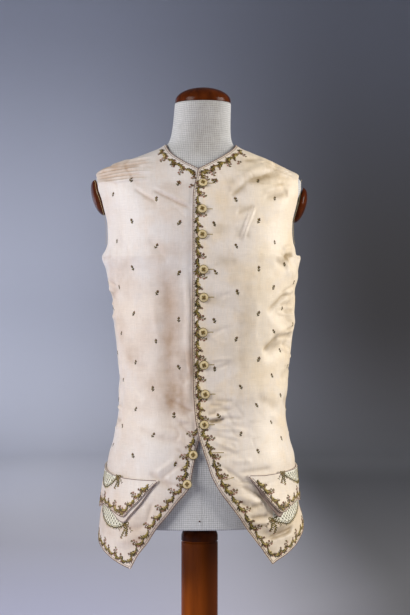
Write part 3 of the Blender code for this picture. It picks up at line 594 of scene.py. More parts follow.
def warmthAt(s, z):
    # the left front is creamy at its side, the right one at the waist; elsewhere the silk is greyer
    v = warmthValues
    skirts = v["skirts"] * smooth((v["skirtTop"] - z) / 40)
    left = smooth((s - v["leftFrom"]) / 65)
    left = left * (1 - v["belowWaist"] * smooth((v["leftWaist"] - z) / 80))
    left = left + skirts + v["middle"] * smooth((10 - s) / 12)
    right = smooth((v["rightTop"] - z) / 70)
    right = right * (1 - v["belowWaist"] * smooth((v["rightWaist"] - z) / 60)) + skirts
    return np.clip(np.where(s > 0, left, right) + v["uneven"] * softNoise(s, z, 45, 31), 0, 1)


def clothSheet(name, s, z, lift, stainAndShade, thickness, material):
    # a sheet over rows of s and z, with the cloth's own thickness behind its face
    obj = meshFrom(name, onSurface(s, z, lift).reshape(-1, 3), gridFaces(*s.shape), [material],
                   attributes={"lay": layOf(s, z), "stainAndShade": stainAndShade.ravel(),
                               "warmth": warmthAt(s, z).ravel()})
    wall = obj.modifiers.new("wall", "SOLIDIFY")
    wall.thickness = thickness * mm
    wall.offset = -1
    return obj


def clothPanel(name, zRows, edges, values, material, side=None):
    # a panel between two edges; a front also has its lap and its rolled edge
    columns = values["columns"]
    z = np.repeat(zRows[:, None], columns, 1)
    low, high = [edge[:, None] for edge in edges]
    s = low + (high - low) * np.linspace(0, 1, columns)[None, :]
    lift = frontLift(side, s, z) if side else creaseAt(s, z)
    # brown blotches, plus painted shade in folds and at the bottom of creases
    blotchesAndCreaseShade = np.clip(stainAndShadeAt(s, z) + troughShade(s, z), 0, 1)
    return clothSheet(name, s, z, lift, blotchesAndCreaseShade, values["thickness"], material)


def newGroup(name, inputs, outputs):
    # an input of None is a vector, one of three numbers a colour, and any other a plain value
    group = bpy.data.node_groups.new(name, "ShaderNodeTree")
    for label, value in inputs.items():
        kind = "Vector" if value is None else "Color" if isinstance(value, tuple) else "Float"
        socket = group.interface.new_socket(label, in_out="INPUT", socket_type="NodeSocket" + kind)
        if value is not None:
            socket.default_value = (*value, 1) if kind == "Color" else value
    for label, kind in outputs.items():
        group.interface.new_socket(label, in_out="OUTPUT", socket_type="NodeSocket" + kind)
    given = group.nodes.new("NodeGroupInput").outputs[:len(inputs)]
    return group, given, group.nodes.new("NodeGroupOutput").inputs


def setOrLink(tree, socket, value):
    if isinstance(value, bpy.types.NodeSocket):
        tree.links.new(value, socket)
    else:
        socket.default_value = (*value, 1) if isinstance(value, tuple) else value


def mathNode(tree, operation, *values, clamp=False):
    node = tree.nodes.new("ShaderNodeMath")
    node.operation, node.use_clamp = operation, clamp
    for socket, value in zip(node.inputs, values):
        setOrLink(tree, socket, value)
    return node.outputs[0]


def plus(tree, a, b):
    return mathNode(tree, "ADD", a, b)


def times(tree, a, b, clamp=False):
    return mathNode(tree, "MULTIPLY", a, b, clamp=clamp)


def gained(tree, value, low, gain):
    # how far a value is past its low end, from 0 to 1
    return times(tree, mathNode(tree, "SUBTRACT", value, low), gain, True)


def mixed(tree, share, a, b):
    # a where the share is 0 and b where it is 1
    return plus(tree, times(tree, b, share),
                times(tree, a, mathNode(tree, "SUBTRACT", 1.0, share)))


def splitNode(tree, vector):
    node = tree.nodes.new("ShaderNodeSeparateXYZ")
    tree.links.new(vector, node.inputs[0])
    return node.outputs[:3]


def rangeNode(tree, value, low, high, kind="SMOOTHSTEP", to=(0.0, 1.0)):
    node = tree.nodes.new("ShaderNodeMapRange")
    node.interpolation_type = kind
    tree.links.new(value, node.inputs["Value"])
    node.inputs["From Min"].default_value, node.inputs["From Max"].default_value = low, high
    node.inputs["To Min"].default_value, node.inputs["To Max"].default_value = to
    return node.outputs[0]


def noiseNode(tree, vector, scale, detail=2.0, rough=0.5):
    node = tree.nodes.new("ShaderNodeTexNoise")
    for label, value in zip(("Vector", "Scale", "Detail", "Roughness"),
                            (vector, scale, detail, rough)):
        setOrLink(tree, node.inputs[label], value)
    return node.outputs["Fac"]


def stretched(tree, vector, x, y, z):
    node = tree.nodes.new("ShaderNodeVectorMath")
    node.operation = "MULTIPLY"
    tree.links.new(vector, node.inputs[0])
    node.inputs[1].default_value = (x, y, z)
    return node.outputs[0]


def mixColor(tree, share, a, b):
    node = tree.nodes.new("ShaderNodeMix")
    node.data_type = "RGBA"
    for index, value in ((0, share), (6, a), (7, b)):  # the sockets for colours come last
        setOrLink(tree, node.inputs[index], value)
    return node.outputs[2]


def makeWeaveGroup():
    # plain weave: slubby threads both ways, as a height and a light-and-dark mask
    group, (lay, density, slub, canvas), put = newGroup(
        "threadWeave", {"Lay": None, "Thread Density": 900.0, "Slub": 0.5, "Canvas": 0.0},
        {"Height": "Float", "Shade": "Float"})
    warp = noiseNode(group, stretched(group, lay, 1, 0.05, 1), density, 1.0)
    weft = noiseNode(group, stretched(group, lay, 0.05, 1, 1), density, 1.0)
    longWarp = noiseNode(group, stretched(group, lay, 1, 0.012, 1), 420)
    longWeft = noiseNode(group, stretched(group, lay, 0.012, 1, 1), 420)
    threads = mathNode(group, "MAXIMUM", warp, weft)
    shade = mixed(group, slub, threads, times(group, plus(group, longWarp, longWeft), 0.5))
    # a coarse canvas shows an open grid of thicker threads
    drift = times(group, noiseNode(group, lay, 90.0), 5.0)
    ways = splitNode(group, stretched(group, lay, 1850.0, 1850.0, 0.0))[:2]
    grid = plus(group, *[mathNode(group, "SINE", plus(group, way, drift)) for way in ways])
    uneven = times(group, noiseNode(group, lay, 380.0), 0.24)
    grid = plus(group, times(group, grid, uneven), 0.5)
    group.links.new(threads, put[0])
    group.links.new(mixed(group, canvas, shade, grid), put[1])
    return group


def makeAgeGroup():
    # aged cloth: broad mottling, the blotch colour where the mask says, a few specks; the mask holds
    # brown blotches and painted shade in folds and creases
    group, (lay, color, tone, cool, stainAndShadeColor, stainAndShade, mottle, warmth), put = newGroup(
        "agedCloth",
        {"Lay": None, "Color": (0.7, 0.6, 0.5), "Tone": (0.75, 0.62, 0.42),
         "Cool": (0.8, 0.76, 0.73), "Stain Color": (0.45, 0.27, 0.13), "Stain": 0.0,
         "Mottle": 0.4, "Warmth": 0.5},
        {"Color": "Color", "Mask": "Float"})
    ground = mixColor(group, warmth, cool, color)
    broad = gained(group, noiseNode(group, lay, 17.0, 4.0, 0.55), 0.47, 3.6)
    toned = mixColor(group, times(group, broad, mottle), ground, tone)
    alongWarp = stretched(group, lay, 1, 0.09, 1)
    streaks = gained(group, noiseNode(group, alongWarp, 150.0, 3.0, 0.6), 0.48, 2.8)
    toned = mixColor(group, times(group, streaks, 0.35), toned, tone)
    pale = gained(group, noiseNode(group, lay, 26.0, 4.0, 0.6), 0.52, 4.0)
    toned = mixColor(group, times(group, pale, 0.7), toned, cool)
    patchy = plus(group, noiseNode(group, lay, 60.0, 5.0, 0.62), 0.35)
    amount = times(group, stainAndShade, patchy, True)
    stained = mixColor(group, amount, toned, stainAndShadeColor)
    specks = gained(group, noiseNode(group, lay, 260.0), 0.72, 5.0)
    group.links.new(mixColor(group, times(group, specks, 0.5), stained, stainAndShadeColor), put[0])
    group.links.new(amount, put[1])
    return group


def makeStitchGroup():
    # satin stitch: fine slanting threads on each raised shape, with painted light on each thread's
    # crest and painted shade in its grooves, and a tint of each shape's own
    group, (thread, color, light, threads), put = newGroup(
        "satinStitch",
        {"Thread": None, "Color": (0.3, 0.3, 0.1), "Light": (0.6, 0.55, 0.3), "Threads": 2200.0},
        {"Color": "Color", "Height": "Float"})
    along, across, tint = splitNode(group, thread)
    slanted = plus(group, along, times(group, mathNode(group, "ABSOLUTE", across), 0.7))
    wave = mathNode(group, "SINE", times(group, slanted, threads))
    height = times(group, plus(group, wave, 1.0), 0.5)
    # painted light and shade: colour follows the threads' height, lighter on crests and darker in
    # grooves; the tint part is each shape's own tone
    share = plus(group, times(group, height, 0.35), times(group, tint, 0.45))
    group.links.new(mixColor(group, share, color, light), put[0])
    group.links.new(height, put[1])
    return group


def makeGrainGroup():
    # stained wood: long grain lines along one axis, with darker pores
    group, (place, dark, warm, scale), put = newGroup(
        "woodGrain",
        {"Place": None, "Dark": (0.03, 0.008, 0.003), "Warm": (0.2, 0.06, 0.02), "Scale": 40.0},
        {"Color": "Color", "Height": "Float"})
    bands = noiseNode(group, place, scale, 5.0, 0.6)
    pores = noiseNode(group, stretched(group, place, 4, 4, 0.25), scale, 3.0, 0.6)
    colored = mixColor(group, gained(group, bands, 0.32, 2.6), dark, warm)
    deep = gained(group, pores, 0.6, 3.0)
    group.links.new(mixColor(group, times(group, deep, 0.6), colored, dark), put[0])
    group.links.new(pores, put[1])
    return group


weaveGroup, ageGroup = makeWeaveGroup(), makeAgeGroup()
stitchGroup, grainGroup = makeStitchGroup(), makeGrainGroup()


def newMaterial(name, roughness, **sockets):
    material = bpy.data.materials.new(name)
    material.use_nodes = True
    shader = material.node_tree.nodes["Principled BSDF"]
    shader.inputs["Roughness"].default_value = roughness
    for label, value in sockets.items():
        shader.inputs[label.replace("_", " ")].default_value = value
    return material, material.node_tree, shader


def useGroup(tree, group, **values):
    node = tree.nodes.new("ShaderNodeGroup")
    node.node_tree = group
    for label, value in values.items():
        setOrLink(tree, node.inputs[label.replace("_", " ")], value)
    return node


def readAttribute(tree, name, output):
    node = tree.nodes.new("ShaderNodeAttribute")
    node.attribute_name = name
    return node.outputs[output]


def addBump(tree, shader, height, strength, distance):
    bump = tree.nodes.new("ShaderNodeBump")
    bump.inputs["Strength"].default_value = strength
    bump.inputs["Distance"].default_value = distance
    tree.links.new(height, bump.inputs["Height"])
    tree.links.new(bump.outputs["Normal"], shader.inputs["Normal"])


def clothMaterial(name, values):
    material, tree, shader = newMaterial(
        name, values["roughness"], Sheen_Weight=values["sheen"], Sheen_Roughness=0.35,
        Specular_IOR_Level=values["specular"])
    lay = readAttribute(tree, "lay", "Vector")
    weave = useGroup(tree, weaveGroup, Lay=lay, Thread_Density=values["density"],
                     Slub=values["slub"], Canvas=values.get("canvas", 0.0))
    # the mask read here holds brown blotches and painted shade in folds, in creases and, on the linen,
    # down the front of the neck
    aged = useGroup(tree, ageGroup, Lay=lay, Color=values["color"], Tone=values["tone"],
                    Cool=values["cool"], Stain_Color=values["stainAndShadeColor"],
                    Stain=readAttribute(tree, "stainAndShade", "Fac"), Mottle=values["mottle"],
                    Warmth=readAttribute(tree, "warmth", "Fac"))
    contrast = values["threadContrast"]
    ramp = rangeNode(tree, weave.outputs["Shade"], 0.3, 0.7, "LINEAR",
                     (1 - contrast, 1 + contrast * 0.4))
    shade = tree.nodes.new("ShaderNodeVectorMath")
    shade.operation = "SCALE"
    tree.links.new(aged.outputs["Color"], shade.inputs[0])
    tree.links.new(ramp, shade.inputs["Scale"])
    tree.links.new(shade.outputs[0], shader.inputs["Base Color"])
    addBump(tree, shader, weave.outputs["Height"], values["bump"], 0.0003)
    return material


silkValues = {"roughness": 0.48, "sheen": 0.12, "specular": 0.45, "density": 1500.0, "slub": 0.3,
              "color": (0.78, 0.675, 0.575), "tone": (0.70, 0.565, 0.455),
              "cool": (0.745, 0.685, 0.64),
              "mottle": 0.75, "stainAndShadeColor": (0.42, 0.255, 0.14), "threadContrast": 0.16,
              "bump": 0.4}
silkRight = clothMaterial("silkRightFront", silkValues)
silkLeft = clothMaterial("silkLeftFront", {
    **silkValues, "color": (0.855, 0.725, 0.55), "tone": (0.785, 0.615, 0.40),
    "cool": (0.785, 0.70, 0.615), "stainAndShadeColor": (0.39, 0.285, 0.16)})
backCloth = clothMaterial("backCloth", {
    **silkValues, "roughness": 0.8, "sheen": 0.1, "specular": 0.3, "density": 1100.0,
    "color": (0.70, 0.62, 0.50), "tone": (0.64, 0.53, 0.39), "cool": (0.71, 0.65, 0.56),
    "threadContrast": 0.14, "bump": 0.5})
flapLinings = {
    "right": clothMaterial("flapLiningPale", {
        **silkValues, "roughness": 0.6, "color": (0.70, 0.62, 0.54), "tone": (0.60, 0.50, 0.42),
        "cool": (0.72, 0.66, 0.60)}),
    # painted shade: the left lining is a darker copy of the pale lining, for the shade under the left
    # flap
    "left": clothMaterial("flapLiningPaintedShade", {
        **silkValues, "roughness": 0.7, "color": (0.33, 0.25, 0.20), "tone": (0.24, 0.17, 0.13),
        "cool": (0.37, 0.31, 0.28)}),
}
linenCover = clothMaterial("linenCover", {
    "roughness": 0.9, "sheen": 0.08, "specular": 0.25, "density": 1100.0, "slub": 0.1, "canvas": 0.6,
    "color": (0.585, 0.575, 0.56), "tone": (0.55, 0.53, 0.49), "cool": (0.60, 0.60, 0.60),
    "mottle": 0.3, "stainAndShadeColor": (0.34, 0.31, 0.27), "threadContrast": 0.5, "bump": 0.9})

threadValues = {
    "olive": ((0.095, 0.064, 0.008), (0.28, 0.205, 0.032)),
    "deepGreen": ((0.03, 0.02, 0.004), (0.10, 0.07, 0.013)),
    "rose": ((0.26, 0.10, 0.06), (0.50, 0.27, 0.18)),
    "madder": ((0.10, 0.036, 0.016), (0.26, 0.11, 0.055)),
    "violet": ((0.06, 0.045, 0.06), (0.18, 0.14, 0.18)),
    "gold": ((0.24, 0.165, 0.025), (0.54, 0.42, 0.11)),
    "straw": ((0.50, 0.36, 0.14), (0.76, 0.62, 0.34)),
    "ivory": ((0.66, 0.63, 0.50), (0.80, 0.77, 0.64)),
    "mauve": ((0.10, 0.052, 0.042), (0.24, 0.135, 0.115)),
}


def threadMaterial(name, dark, light):
    material, tree, shader = newMaterial("thread" + name[0].upper() + name[1:], 0.5,
                                         Specular_IOR_Level=0.3)
    stitch = useGroup(tree, stitchGroup, Thread=readAttribute(tree, "thread", "Vector"),
                      Color=dark, Light=light, Threads=9000.0)
    tree.links.new(stitch.outputs["Color"], shader.inputs["Base Color"])
    addBump(tree, shader, stitch.outputs["Height"], 0.5, 0.0002)
    return material


threads = {name: threadMaterial(name, *pair) for name, pair in threadValues.items()}
threadNames = list(threads)


def woodMaterial(name, warm, dark, roughness, paintedShadeSide=None):
    material, tree, shader = newMaterial(name, roughness, Specular_IOR_Level=0.08)
    place = tree.nodes.new("ShaderNodeTexCoord").outputs["Object"]
    grain = useGroup(tree, grainGroup, Place=stretched(tree, place, 1, 1, 0.12), Dark=dark,
                     Warm=warm, Scale=70.0)
    color = grain.outputs["Color"]
    if paintedShadeSide:  # painted shade: the post darker on its right side, past a wavy edge
        wave = noiseNode(tree, stretched(tree, place, 1, 1, 0.15), 30.0)
        edge = plus(tree, splitNode(tree, place)[0], times(tree, wave, 0.012))
        color = mixColor(tree, rangeNode(tree, edge, -0.004, 0.026), color, paintedShadeSide)
    tree.links.new(color, shader.inputs["Base Color"])
    addBump(tree, shader, grain.outputs["Height"], 0.12, 0.0004)
    return material


stainedWood = woodMaterial("stainedWood", (0.105, 0.022, 0.004), (0.04, 0.008, 0.002), 0.18)
# the post's wood, with painted shade on its right side
postWood = woodMaterial("postWood", (0.33, 0.072, 0.005), (0.19, 0.04, 0.003), 0.22,
                        paintedShadeSide=(0.082, 0.018, 0.003))
print("materials ready")

torsoValues = {"sides": 160, "rowStep": 3.5, "bottom": 250.0, "top": 982.0, "capTilt": 16.5,
               "seatLow": 54, "seatHigh": 56, "rim": 2.5}
plates = {"right": (-172.0, 817.0), "left": (171.5, 805.0)}  # x and z of each shoulder cap


def plateNormal(side):
    tilt = math.radians(torsoValues["capTilt"])
    return Vector((math.copysign(math.cos(tilt), plates[side][0]), 0, -math.sin(tilt)))


def makeTorso():
    v = torsoValues
    sides = v["sides"]
    z = np.linspace(v["bottom"], v["top"], int((v["top"] - v["bottom"]) / v["rowStep"]))
    degrees = np.linspace(-180, 180, sides + 1)[:-1]
    points = ringPoint(degrees[None, :], z[:, None], 0.0)
    for side, (x, height) in plates.items():  # the flat seats of the shoulder caps
        normal = np.array(plateNormal(side))
        past = np.maximum((points - np.array([x, 0, height])) @ normal, 0)
        past[(points[..., 2] < height - v["seatLow"]) | (points[..., 2] > height + v["seatHigh"])] = 0
        points = points - past[..., None] * normal
    stretch = np.linalg.norm(np.diff(points, axis=1, append=points[:, :1]), axis=2)
    s = np.cumsum(stretch, axis=1)
    s = s - s[:, sides // 2:sides // 2 + 1]
    neckShade = 0.7 * np.exp(-((s - 6) / 42) ** 2) * smooth((z[:, None] - 860) / 40)  # painted shade: the linen darker down the front of the neck, where the side lights reach it least
    rows = len(z)
    i, j = np.meshgrid(np.arange(rows - 1), np.arange(sides), indexing="ij")
    a, b = i * sides + j, i * sides + (j + 1) % sides
    faces = np.stack([a, b, b + sides, a + sides], -1).reshape(-1, 4).tolist()
    faces.append(list(range(sides))[::-1])
    faces.append([(rows - 1) * sides + k for k in range(sides)])
    torso = meshFrom("torso", points.reshape(-1, 3), faces, [linenCover],
                     attributes={"lay": layOf(s, points[..., 2]), "stainAndShade": neckShade.ravel()})
    torso.data.set_sharp_from_angle(angle=math.radians(50))
    rim = torso.modifiers.new("softRim", "BEVEL")
    rim.width, rim.segments, rim.angle_limit = v["rim"] * mm, 3, math.radians(60)
    dress(torso, "form_torso")


def turned(name, profile, steps, material):
    # a turned piece; the profile runs from the axis at its top, down its outside, to the axis
    points = [(0, 0, profile[0][1])]
    points += [(r * math.cos(a), r * math.sin(a), h) for r, h in profile[1:-1]
               for a in fullTurn(steps)]
    last = len(points)
    points.append((0, 0, profile[-1][1]))
    faces = []
    for k in range(steps):
        after = (k + 1) % steps
        faces += [(0, 1 + k, 1 + after), (last - steps + k, last, last - steps + after)]
        for a in range(1, last - steps, steps):  # each ring's first point
            faces.append((a + k, a + steps + k, a + steps + after, a + after))
    piece = meshFrom(name, points, faces, [material])
    piece.data.set_sharp_from_angle(angle=math.radians(40))
    return piece


def domeProfile(v):
    # a dome on a straight rim, with a flat foot
    curve = [(0.0, v["rim"] + v["height"])]
    for i in range(1, v["points"] + 1):
        turn = math.pi / 2 * i / v["points"]
        curve.append((v["radius"] * math.sin(turn), v["rim"] + v["height"] * math.cos(turn)))
    return curve + [(v["radius"], 0.0), (0.0, 0.0)]


def standOn(obj, point, normal):
    obj.rotation_mode = "QUATERNION"
    obj.rotation_quaternion = normal.to_track_quat("Z", "Y")
    obj.location = point * mm


woodValues = {
    "cap": {"radius": 32.0, "height": 13.0, "rim": 2, "points": 18, "gap": 0.3},
    "neck": {"radius": 48.5, "height": 24.0, "rim": 3, "points": 24, "x": 6.0, "foot": 982.3},
    "post": {"radius": 32.0, "top": 236.5, "foot": 30.3, "roundIn": 6.5, "roundDown": 11,
             "groove": 219.0, "spigot": 23.0, "spigotTop": 249.7},
    "base": {"radius": 150.0, "height": 30.0, "rounding": 9.0, "bevel": 2},
}
grooveSteps = ((0, 0), (1.0, 0.8), (1.3, 1.8), (1.0, 2.8), (0, 3.6))  # in and down
quarterTurn = [math.radians(a) for a in range(0, 91, 9)]


def makeCaps():
    v = woodValues["neck"]
    neckCap = turned("neckCap", domeProfile(v), 96, stainedWood)
    neckCap.location = Vector((v["x"], 0, v["foot"])) * mm
    dress(neckCap, "neck_cap")
    v = woodValues["cap"]
    for side, (x, height) in plates.items():
        cap = turned("shoulderCap" + side.title(), domeProfile(v), 72, stainedWood)
        normal = plateNormal(side)
        standOn(cap, Vector((x, 0, height)) + normal * v["gap"], normal)
        dress(cap, "shoulder_cap_" + side)


def makePost():
    v = woodValues["post"]
    radius, low = v["radius"], v["top"] - v["roundDown"]
    rounding = [(radius - v["roundIn"] * (1 - math.sin(a)), low + v["roundDown"] * math.cos(a))
                for a in quarterTurn]
    groove = [(radius - inwards, v["groove"] - down) for inwards, down in grooveSteps]
    post = turned("post", [(0, v["spigotTop"]), (v["spigot"], v["spigotTop"]),
                           (v["spigot"], v["top"])]
                  + rounding + groove + [(radius, v["foot"]), (0, v["foot"])], 96, postWood)
    post.data.materials.append(stainedWood)  # painted shadow: the collar above the groove in the darker wood, where the torso shades the post's top
    for face in post.data.polygons:
        face.material_index = int(face.center.z > v["groove"] * mm)
    dress(post, "post")


def makeBase():
    v = woodValues["base"]
    edge = [(v["radius"] - v["rounding"] * (1 - math.sin(a)),
             v["height"] - v["rounding"] * (1 - math.cos(a))) for a in quarterTurn]
    base = turned("base", [(0, v["height"])] + edge
                  + [(v["radius"], v["bevel"]), (v["radius"] - v["bevel"], 0), (0, 0)], 128,
                  stainedWood)
    dress(base, "base")


seamValues = {"low": 251.5, "high": 432, "x": -2.6, "wander": 0.3, "half": 0.8, "rise": 0.5,
              "pin": {"radius": 1.4, "height": 0.9, "rim": 0.4, "points": 5}, "pinAt": 266.0}


def makeFormSeam():
    # the linen's raised seam down the middle of the front, and a pin's head beside it
    v = seamValues
    z = np.linspace(v["low"], v["high"], 90)
    x = v["x"] + v["wander"] * softNoise(z, 0 * z, 40, 77)
    rows = []
    for shift, lift in ((-v["half"], 0.05), (0, v["rise"]), (v["half"], 0.05)):
        across = np.degrees(np.arcsin((np.abs(x + shift) / form["right"](z))
                                      ** (form["power"](z) / 2)))
        rows.append(ringPoint(-across, z, 0.0) - np.array([0, lift, 0]))
    points = np.stack(rows, 1).reshape(-1, 3)
    seam = meshFrom("formSeam", points, gridFaces(len(z), 3), [linenCover],
                    attributes={"lay": layOf(points[:, 0], points[:, 2]),
                                "stainAndShade": np.full(len(points), 0.25)})
    pin = turned("formPin", domeProfile(v["pin"]), 16, stainedWood)
    standOn(pin, Vector(ringPoint(-1.4, v["pinAt"], 0.0)) + Vector((0, 0.1, 0)), Vector((0, -1, 0)))
    dress(seam)
    dress(pin)


makeTorso()
makeFormSeam()
makeCaps()
makePost()
makeBase()
print("dress form ready")

frontValues = {"columns": 126, "thickness": 1.5}
backValues = {"columns": 90, "thickness": 1.3}
bodyRows = [(ventTop, underarm, 2.5), (underarm, 726, 1.0), (726, 836, 2.4), (836, 858, 1.2),
            (858, neckPoint, 1.25)]
panelRows = {  # from, to and step, closer where an edge turns fast
    "left": rowHeights([(192.6, 200, 0.9), (200, 262, 1.6), (262, ventTop, 2.1)] + bodyRows),
    "right": rowHeights([(186.4, 194, 0.7), (194, 232, 1.4), (232, ventTop, 2.2)] + bodyRows),
    "back": rowHeights([(264, ventTop, 3.4), (ventTop, underarm, 3.4), (underarm, 726, 1.0),
                        (726, 836, 3.2), (836, 858, 1.2), (858, 893, 1.4), (893, neckPoint, 0.7)]),
}


def makePanels():
    sheets = {}
    for side, silk in (("left", silkLeft), ("right", silkRight)):
        z = panelRows[side]
        edges = [frontInner(side, z), frontOuter(side, z)][::fronts[side]["sign"]]
        panel = clothPanel("front" + side.title(), z, edges, frontValues, silk, side)
        sheets["front_" + side] = dress(panel, "front_" + side)
    for side, sign in (("left", 1), ("right", -1)):
        z = panelRows["back"]
        edges = [backOuter(sign, z), backInner(sign, z)][::sign]
        panel = clothPanel("back" + side.title(), z, edges, backValues, backCloth)
        sheets["back_" + side] = dress(panel, "back_" + side)
    return sheets


panelSheets = makePanels()
print("panels ready")

# distance round from the flap's front point, then how far its top and lower edges stand above it
flapStations = {
    "right": [(0, 0, -3), (12, 0, -14), (31, 0, -34), (48, 0.5, -51.5), (62, 1.2, -64),
              (88, 4, -56), (118, 8, -48), (140, 11.5, -47), (158, 15, -54), (172, 17, -58),
              (186, 19, -50)],
    "left": [(0, 0, -3), (12, -0.5, -16), (30, -1, -36), (45, 0, -54), (58, 1, -66), (84, 3, -56),
             (112, 5, -48), (136, 6.5, -46), (156, 8, -52), (172, 9, -56), (186, 10, -48)],
}
flapValues = {
    "right": {"front": 76.5, "height": 335.5, "hang": 3.0, "shownTo": 70, "shownFade": 35},
    "left": {"front": 75.5, "height": 343.0, "hang": 4.5, "shownTo": 52, "shownFade": 14},
    "width": 186.0, "columns": 96, "rows": 26, "stainAndShade": 0.6, "layerGap": 0.5,
}
# each layer: its thickness, how far it shows below, its gap to what is under it, its share of the hang
flapLayers = {"lining": {"thickness": 1.0, "shows": 9.0, "under": 0.9, "hang": 0.75},
              "flap": {"thickness": 1.5, "shows": 0.0, "hang": 1.0}}
flapLayers["flap"]["under"] = (flapLayers["lining"]["under"] + flapLayers["lining"]["thickness"]
                               + flapValues["layerGap"])
flapTop = {side: curveThrough(rows, 1) for side, rows in flapStations.items()}
flapLow = {side: curveThrough(rows, 2) for side, rows in flapStations.items()}


def flapTopAt(side, along):
    return flapValues[side]["height"] + flapTop[side](along)


def flapReach(side, layer, along):
    # how far a layer hangs down; the lining shows along the front lobe only
    v = flapValues[side]
    shows = smooth((along + 8) / 55) * (1 - smooth((along - v["shownTo"]) / v["shownFade"]))
    return flapTop[side](along) - flapLow[side](along) + flapLayers[layer]["shows"] * shows


def flapLift(side, layer, s, z):
    # how far the outer face of a layer stands off the cloth's plain surface
    v, part = flapValues[side], flapLayers[layer]
    along = np.clip(np.abs(s) - v["front"], 0, flapValues["width"])
    reach = flapReach(side, layer, along)
    down = np.clip((flapTopAt(side, along) - z) / np.maximum(reach, 1), 0, 1)
    standsOff = v["hang"] * part["hang"] * (1 - smooth((along - 60) / 90))
    return (frontLift(side, s, z) + part["thickness"]
            + (part["under"] + standsOff * smooth(down) * smooth(reach / 45)))


def makeFlapLayer(side, layer, name, material):
    sign, columns, rows = fronts[side]["sign"], flapValues["columns"], flapValues["rows"]
    along = np.linspace(0, flapValues["width"], columns)[::sign][None, :] * np.ones((rows, 1))
    down = np.linspace(1, 0, rows)[:, None] * np.ones((1, columns))
    s = sign * (flapValues[side]["front"] + along)
    z = flapTopAt(side, along) - flapReach(side, layer, along) * down
    return clothSheet(name + side.title(), s, z, flapLift(side, layer, s, z),
                      flapValues["stainAndShade"] * stainAndShadeAt(s, z), flapLayers[layer]["thickness"], material)


def makeFlaps():
    sheets = []
    for side, silk in (("right", silkRight), ("left", silkLeft)):
        lining = makeFlapLayer(side, "lining", "flapLining", flapLinings[side])
        flap = makeFlapLayer(side, "flap", "flap", silk)
        sheets.append((dress(lining, "flap_lining_" + side), side))
        sheets.append((dress(flap, "flap_" + side), side))
    return sheets


flapSheets = makeFlaps()
print("flaps ready")


class Stitching:
    # gathers raised stitched shapes in s and z, then lays them all on the cloth at once

    def __init__(self, liftOf):
        self.liftOf = liftOf
        self.places, self.lifts, self.threads, self.faces, self.kinds = [], [], [], [], []
        self.count = 0

    def add(self, place, lift, thread, faces, kind):
        self.places.append(place)
        self.lifts.append(lift)
        self.threads.append(thread)
        self.faces.append(faces + self.count)
        self.kinds.append(np.full(len(faces), threadNames.index(kind)))
        self.count += len(place)

    def make(self, name):
        place, lift = np.concatenate(self.places), np.concatenate(self.lifts)
        s, z = place[:, 0], place[:, 1]
        points = onSurface(s, z, self.liftOf(s, z) + lift)
        obj = meshFrom(name, points, np.concatenate(self.faces), list(threads.values()),
                       np.concatenate(self.kinds), {"thread": np.concatenate(self.threads)})
        return dress(obj)


def toSheet(anchor, offset):
    # places on the cloth, from offsets in real millimetres to the right and up along it
    anchor = np.broadcast_to(np.asarray(anchor, float), offset.shape)
    up = offset[:, 1] / np.maximum(readSurface(climb, anchor[:, 0], anchor[:, 1]), 0.3)
    lean = readSurface(slant, anchor[:, 0], anchor[:, 1])
    return anchor + np.stack([offset[:, 0] - lean * up, up], 1)


def fromSheet(steps, at):
    # steps of s and z as real millimetres
    lean, rise = readSurface(slant, at[:, 0], at[:, 1]), readSurface(climb, at[:, 0], at[:, 1])
    return np.stack([steps[:, 0] + lean * steps[:, 1], rise * steps[:, 1]], 1)


def direction(turn):
    return np.array([math.cos(turn), math.sin(turn)])


def angleOf(steps):
    return np.arctan2(steps[..., 1], steps[..., 0])


def leftOf(steps):
    # unit steps square to these ones
    return unit(steps)[:, ::-1] * [-1, 1]


def runOf(places):
    # the length run along a row of places
    return np.insert(np.cumsum(np.linalg.norm(np.diff(places, axis=0), axis=1)), 0, 0)


def ribbonFaces(count):
    a = 3 * np.arange(count - 1)
    return np.concatenate([np.stack([a + 1, a + 4, a + 3, a], 1),
                           np.stack([a + 2, a + 5, a + 4, a + 1], 1)])


def ribbonParts(points, halfWidths):
    # left, middle and right of a ribbon through flat points, and its faces
    normal = leftOf(np.gradient(points, axis=0)) * halfWidths[:, None]
    offset = np.stack([points + normal, points, points - normal], 1).reshape(-1, 2)
    return offset, ribbonFaces(len(points))


def threadOf(run, halfWidths, tint):
    # for the stitch shader: the run, the distance from the middle and how light the thread is
    across = np.stack([halfWidths, 0 * halfWidths, -halfWidths], 1)
    return np.stack([np.repeat(run, 3), across.ravel(), np.full(3 * len(run), tint / mm)], 1) * mm


edgeLift = 0.03  # how far a stitched shape's own edges stand off the cloth


def shape(work, anchor, points, halfWidths, height, kind, tint=0.5):
    # one raised shape whose flat points lie round an anchor
    offset, faces = ribbonParts(points, halfWidths)
    rise = height * np.clip(halfWidths / max(halfWidths.max(), 1e-6), 0.25, 1)
    lift = np.stack([0 * rise, rise, 0 * rise], 1).ravel() + edgeLift
    thread = threadOf(runOf(points), halfWidths, tint)
    work.add(toSheet(anchor, offset), lift, thread, faces, kind)


def line(work, places, halfWidth, height, kind, tint=0.5):
    # a long raised line whose places are s and z
    normal = inwards(places, 1)
    width = np.broadcast_to(np.asarray(halfWidth, float), len(places))
    left, right = toSheet(places, normal * width[:, None]), toSheet(places, -normal * width[:, None])
    place = np.stack([left, places, right], 1).reshape(-1, 2)
    lift = np.tile([0.0, height, 0.0], len(places)) + edgeLift
    steps = fromSheet(np.diff(places, axis=0, prepend=places[:1]), places)
    run = np.cumsum(np.linalg.norm(steps, axis=1))
    work.add(place, lift, threadOf(run, width, tint), ribbonFaces(len(places)), kind)


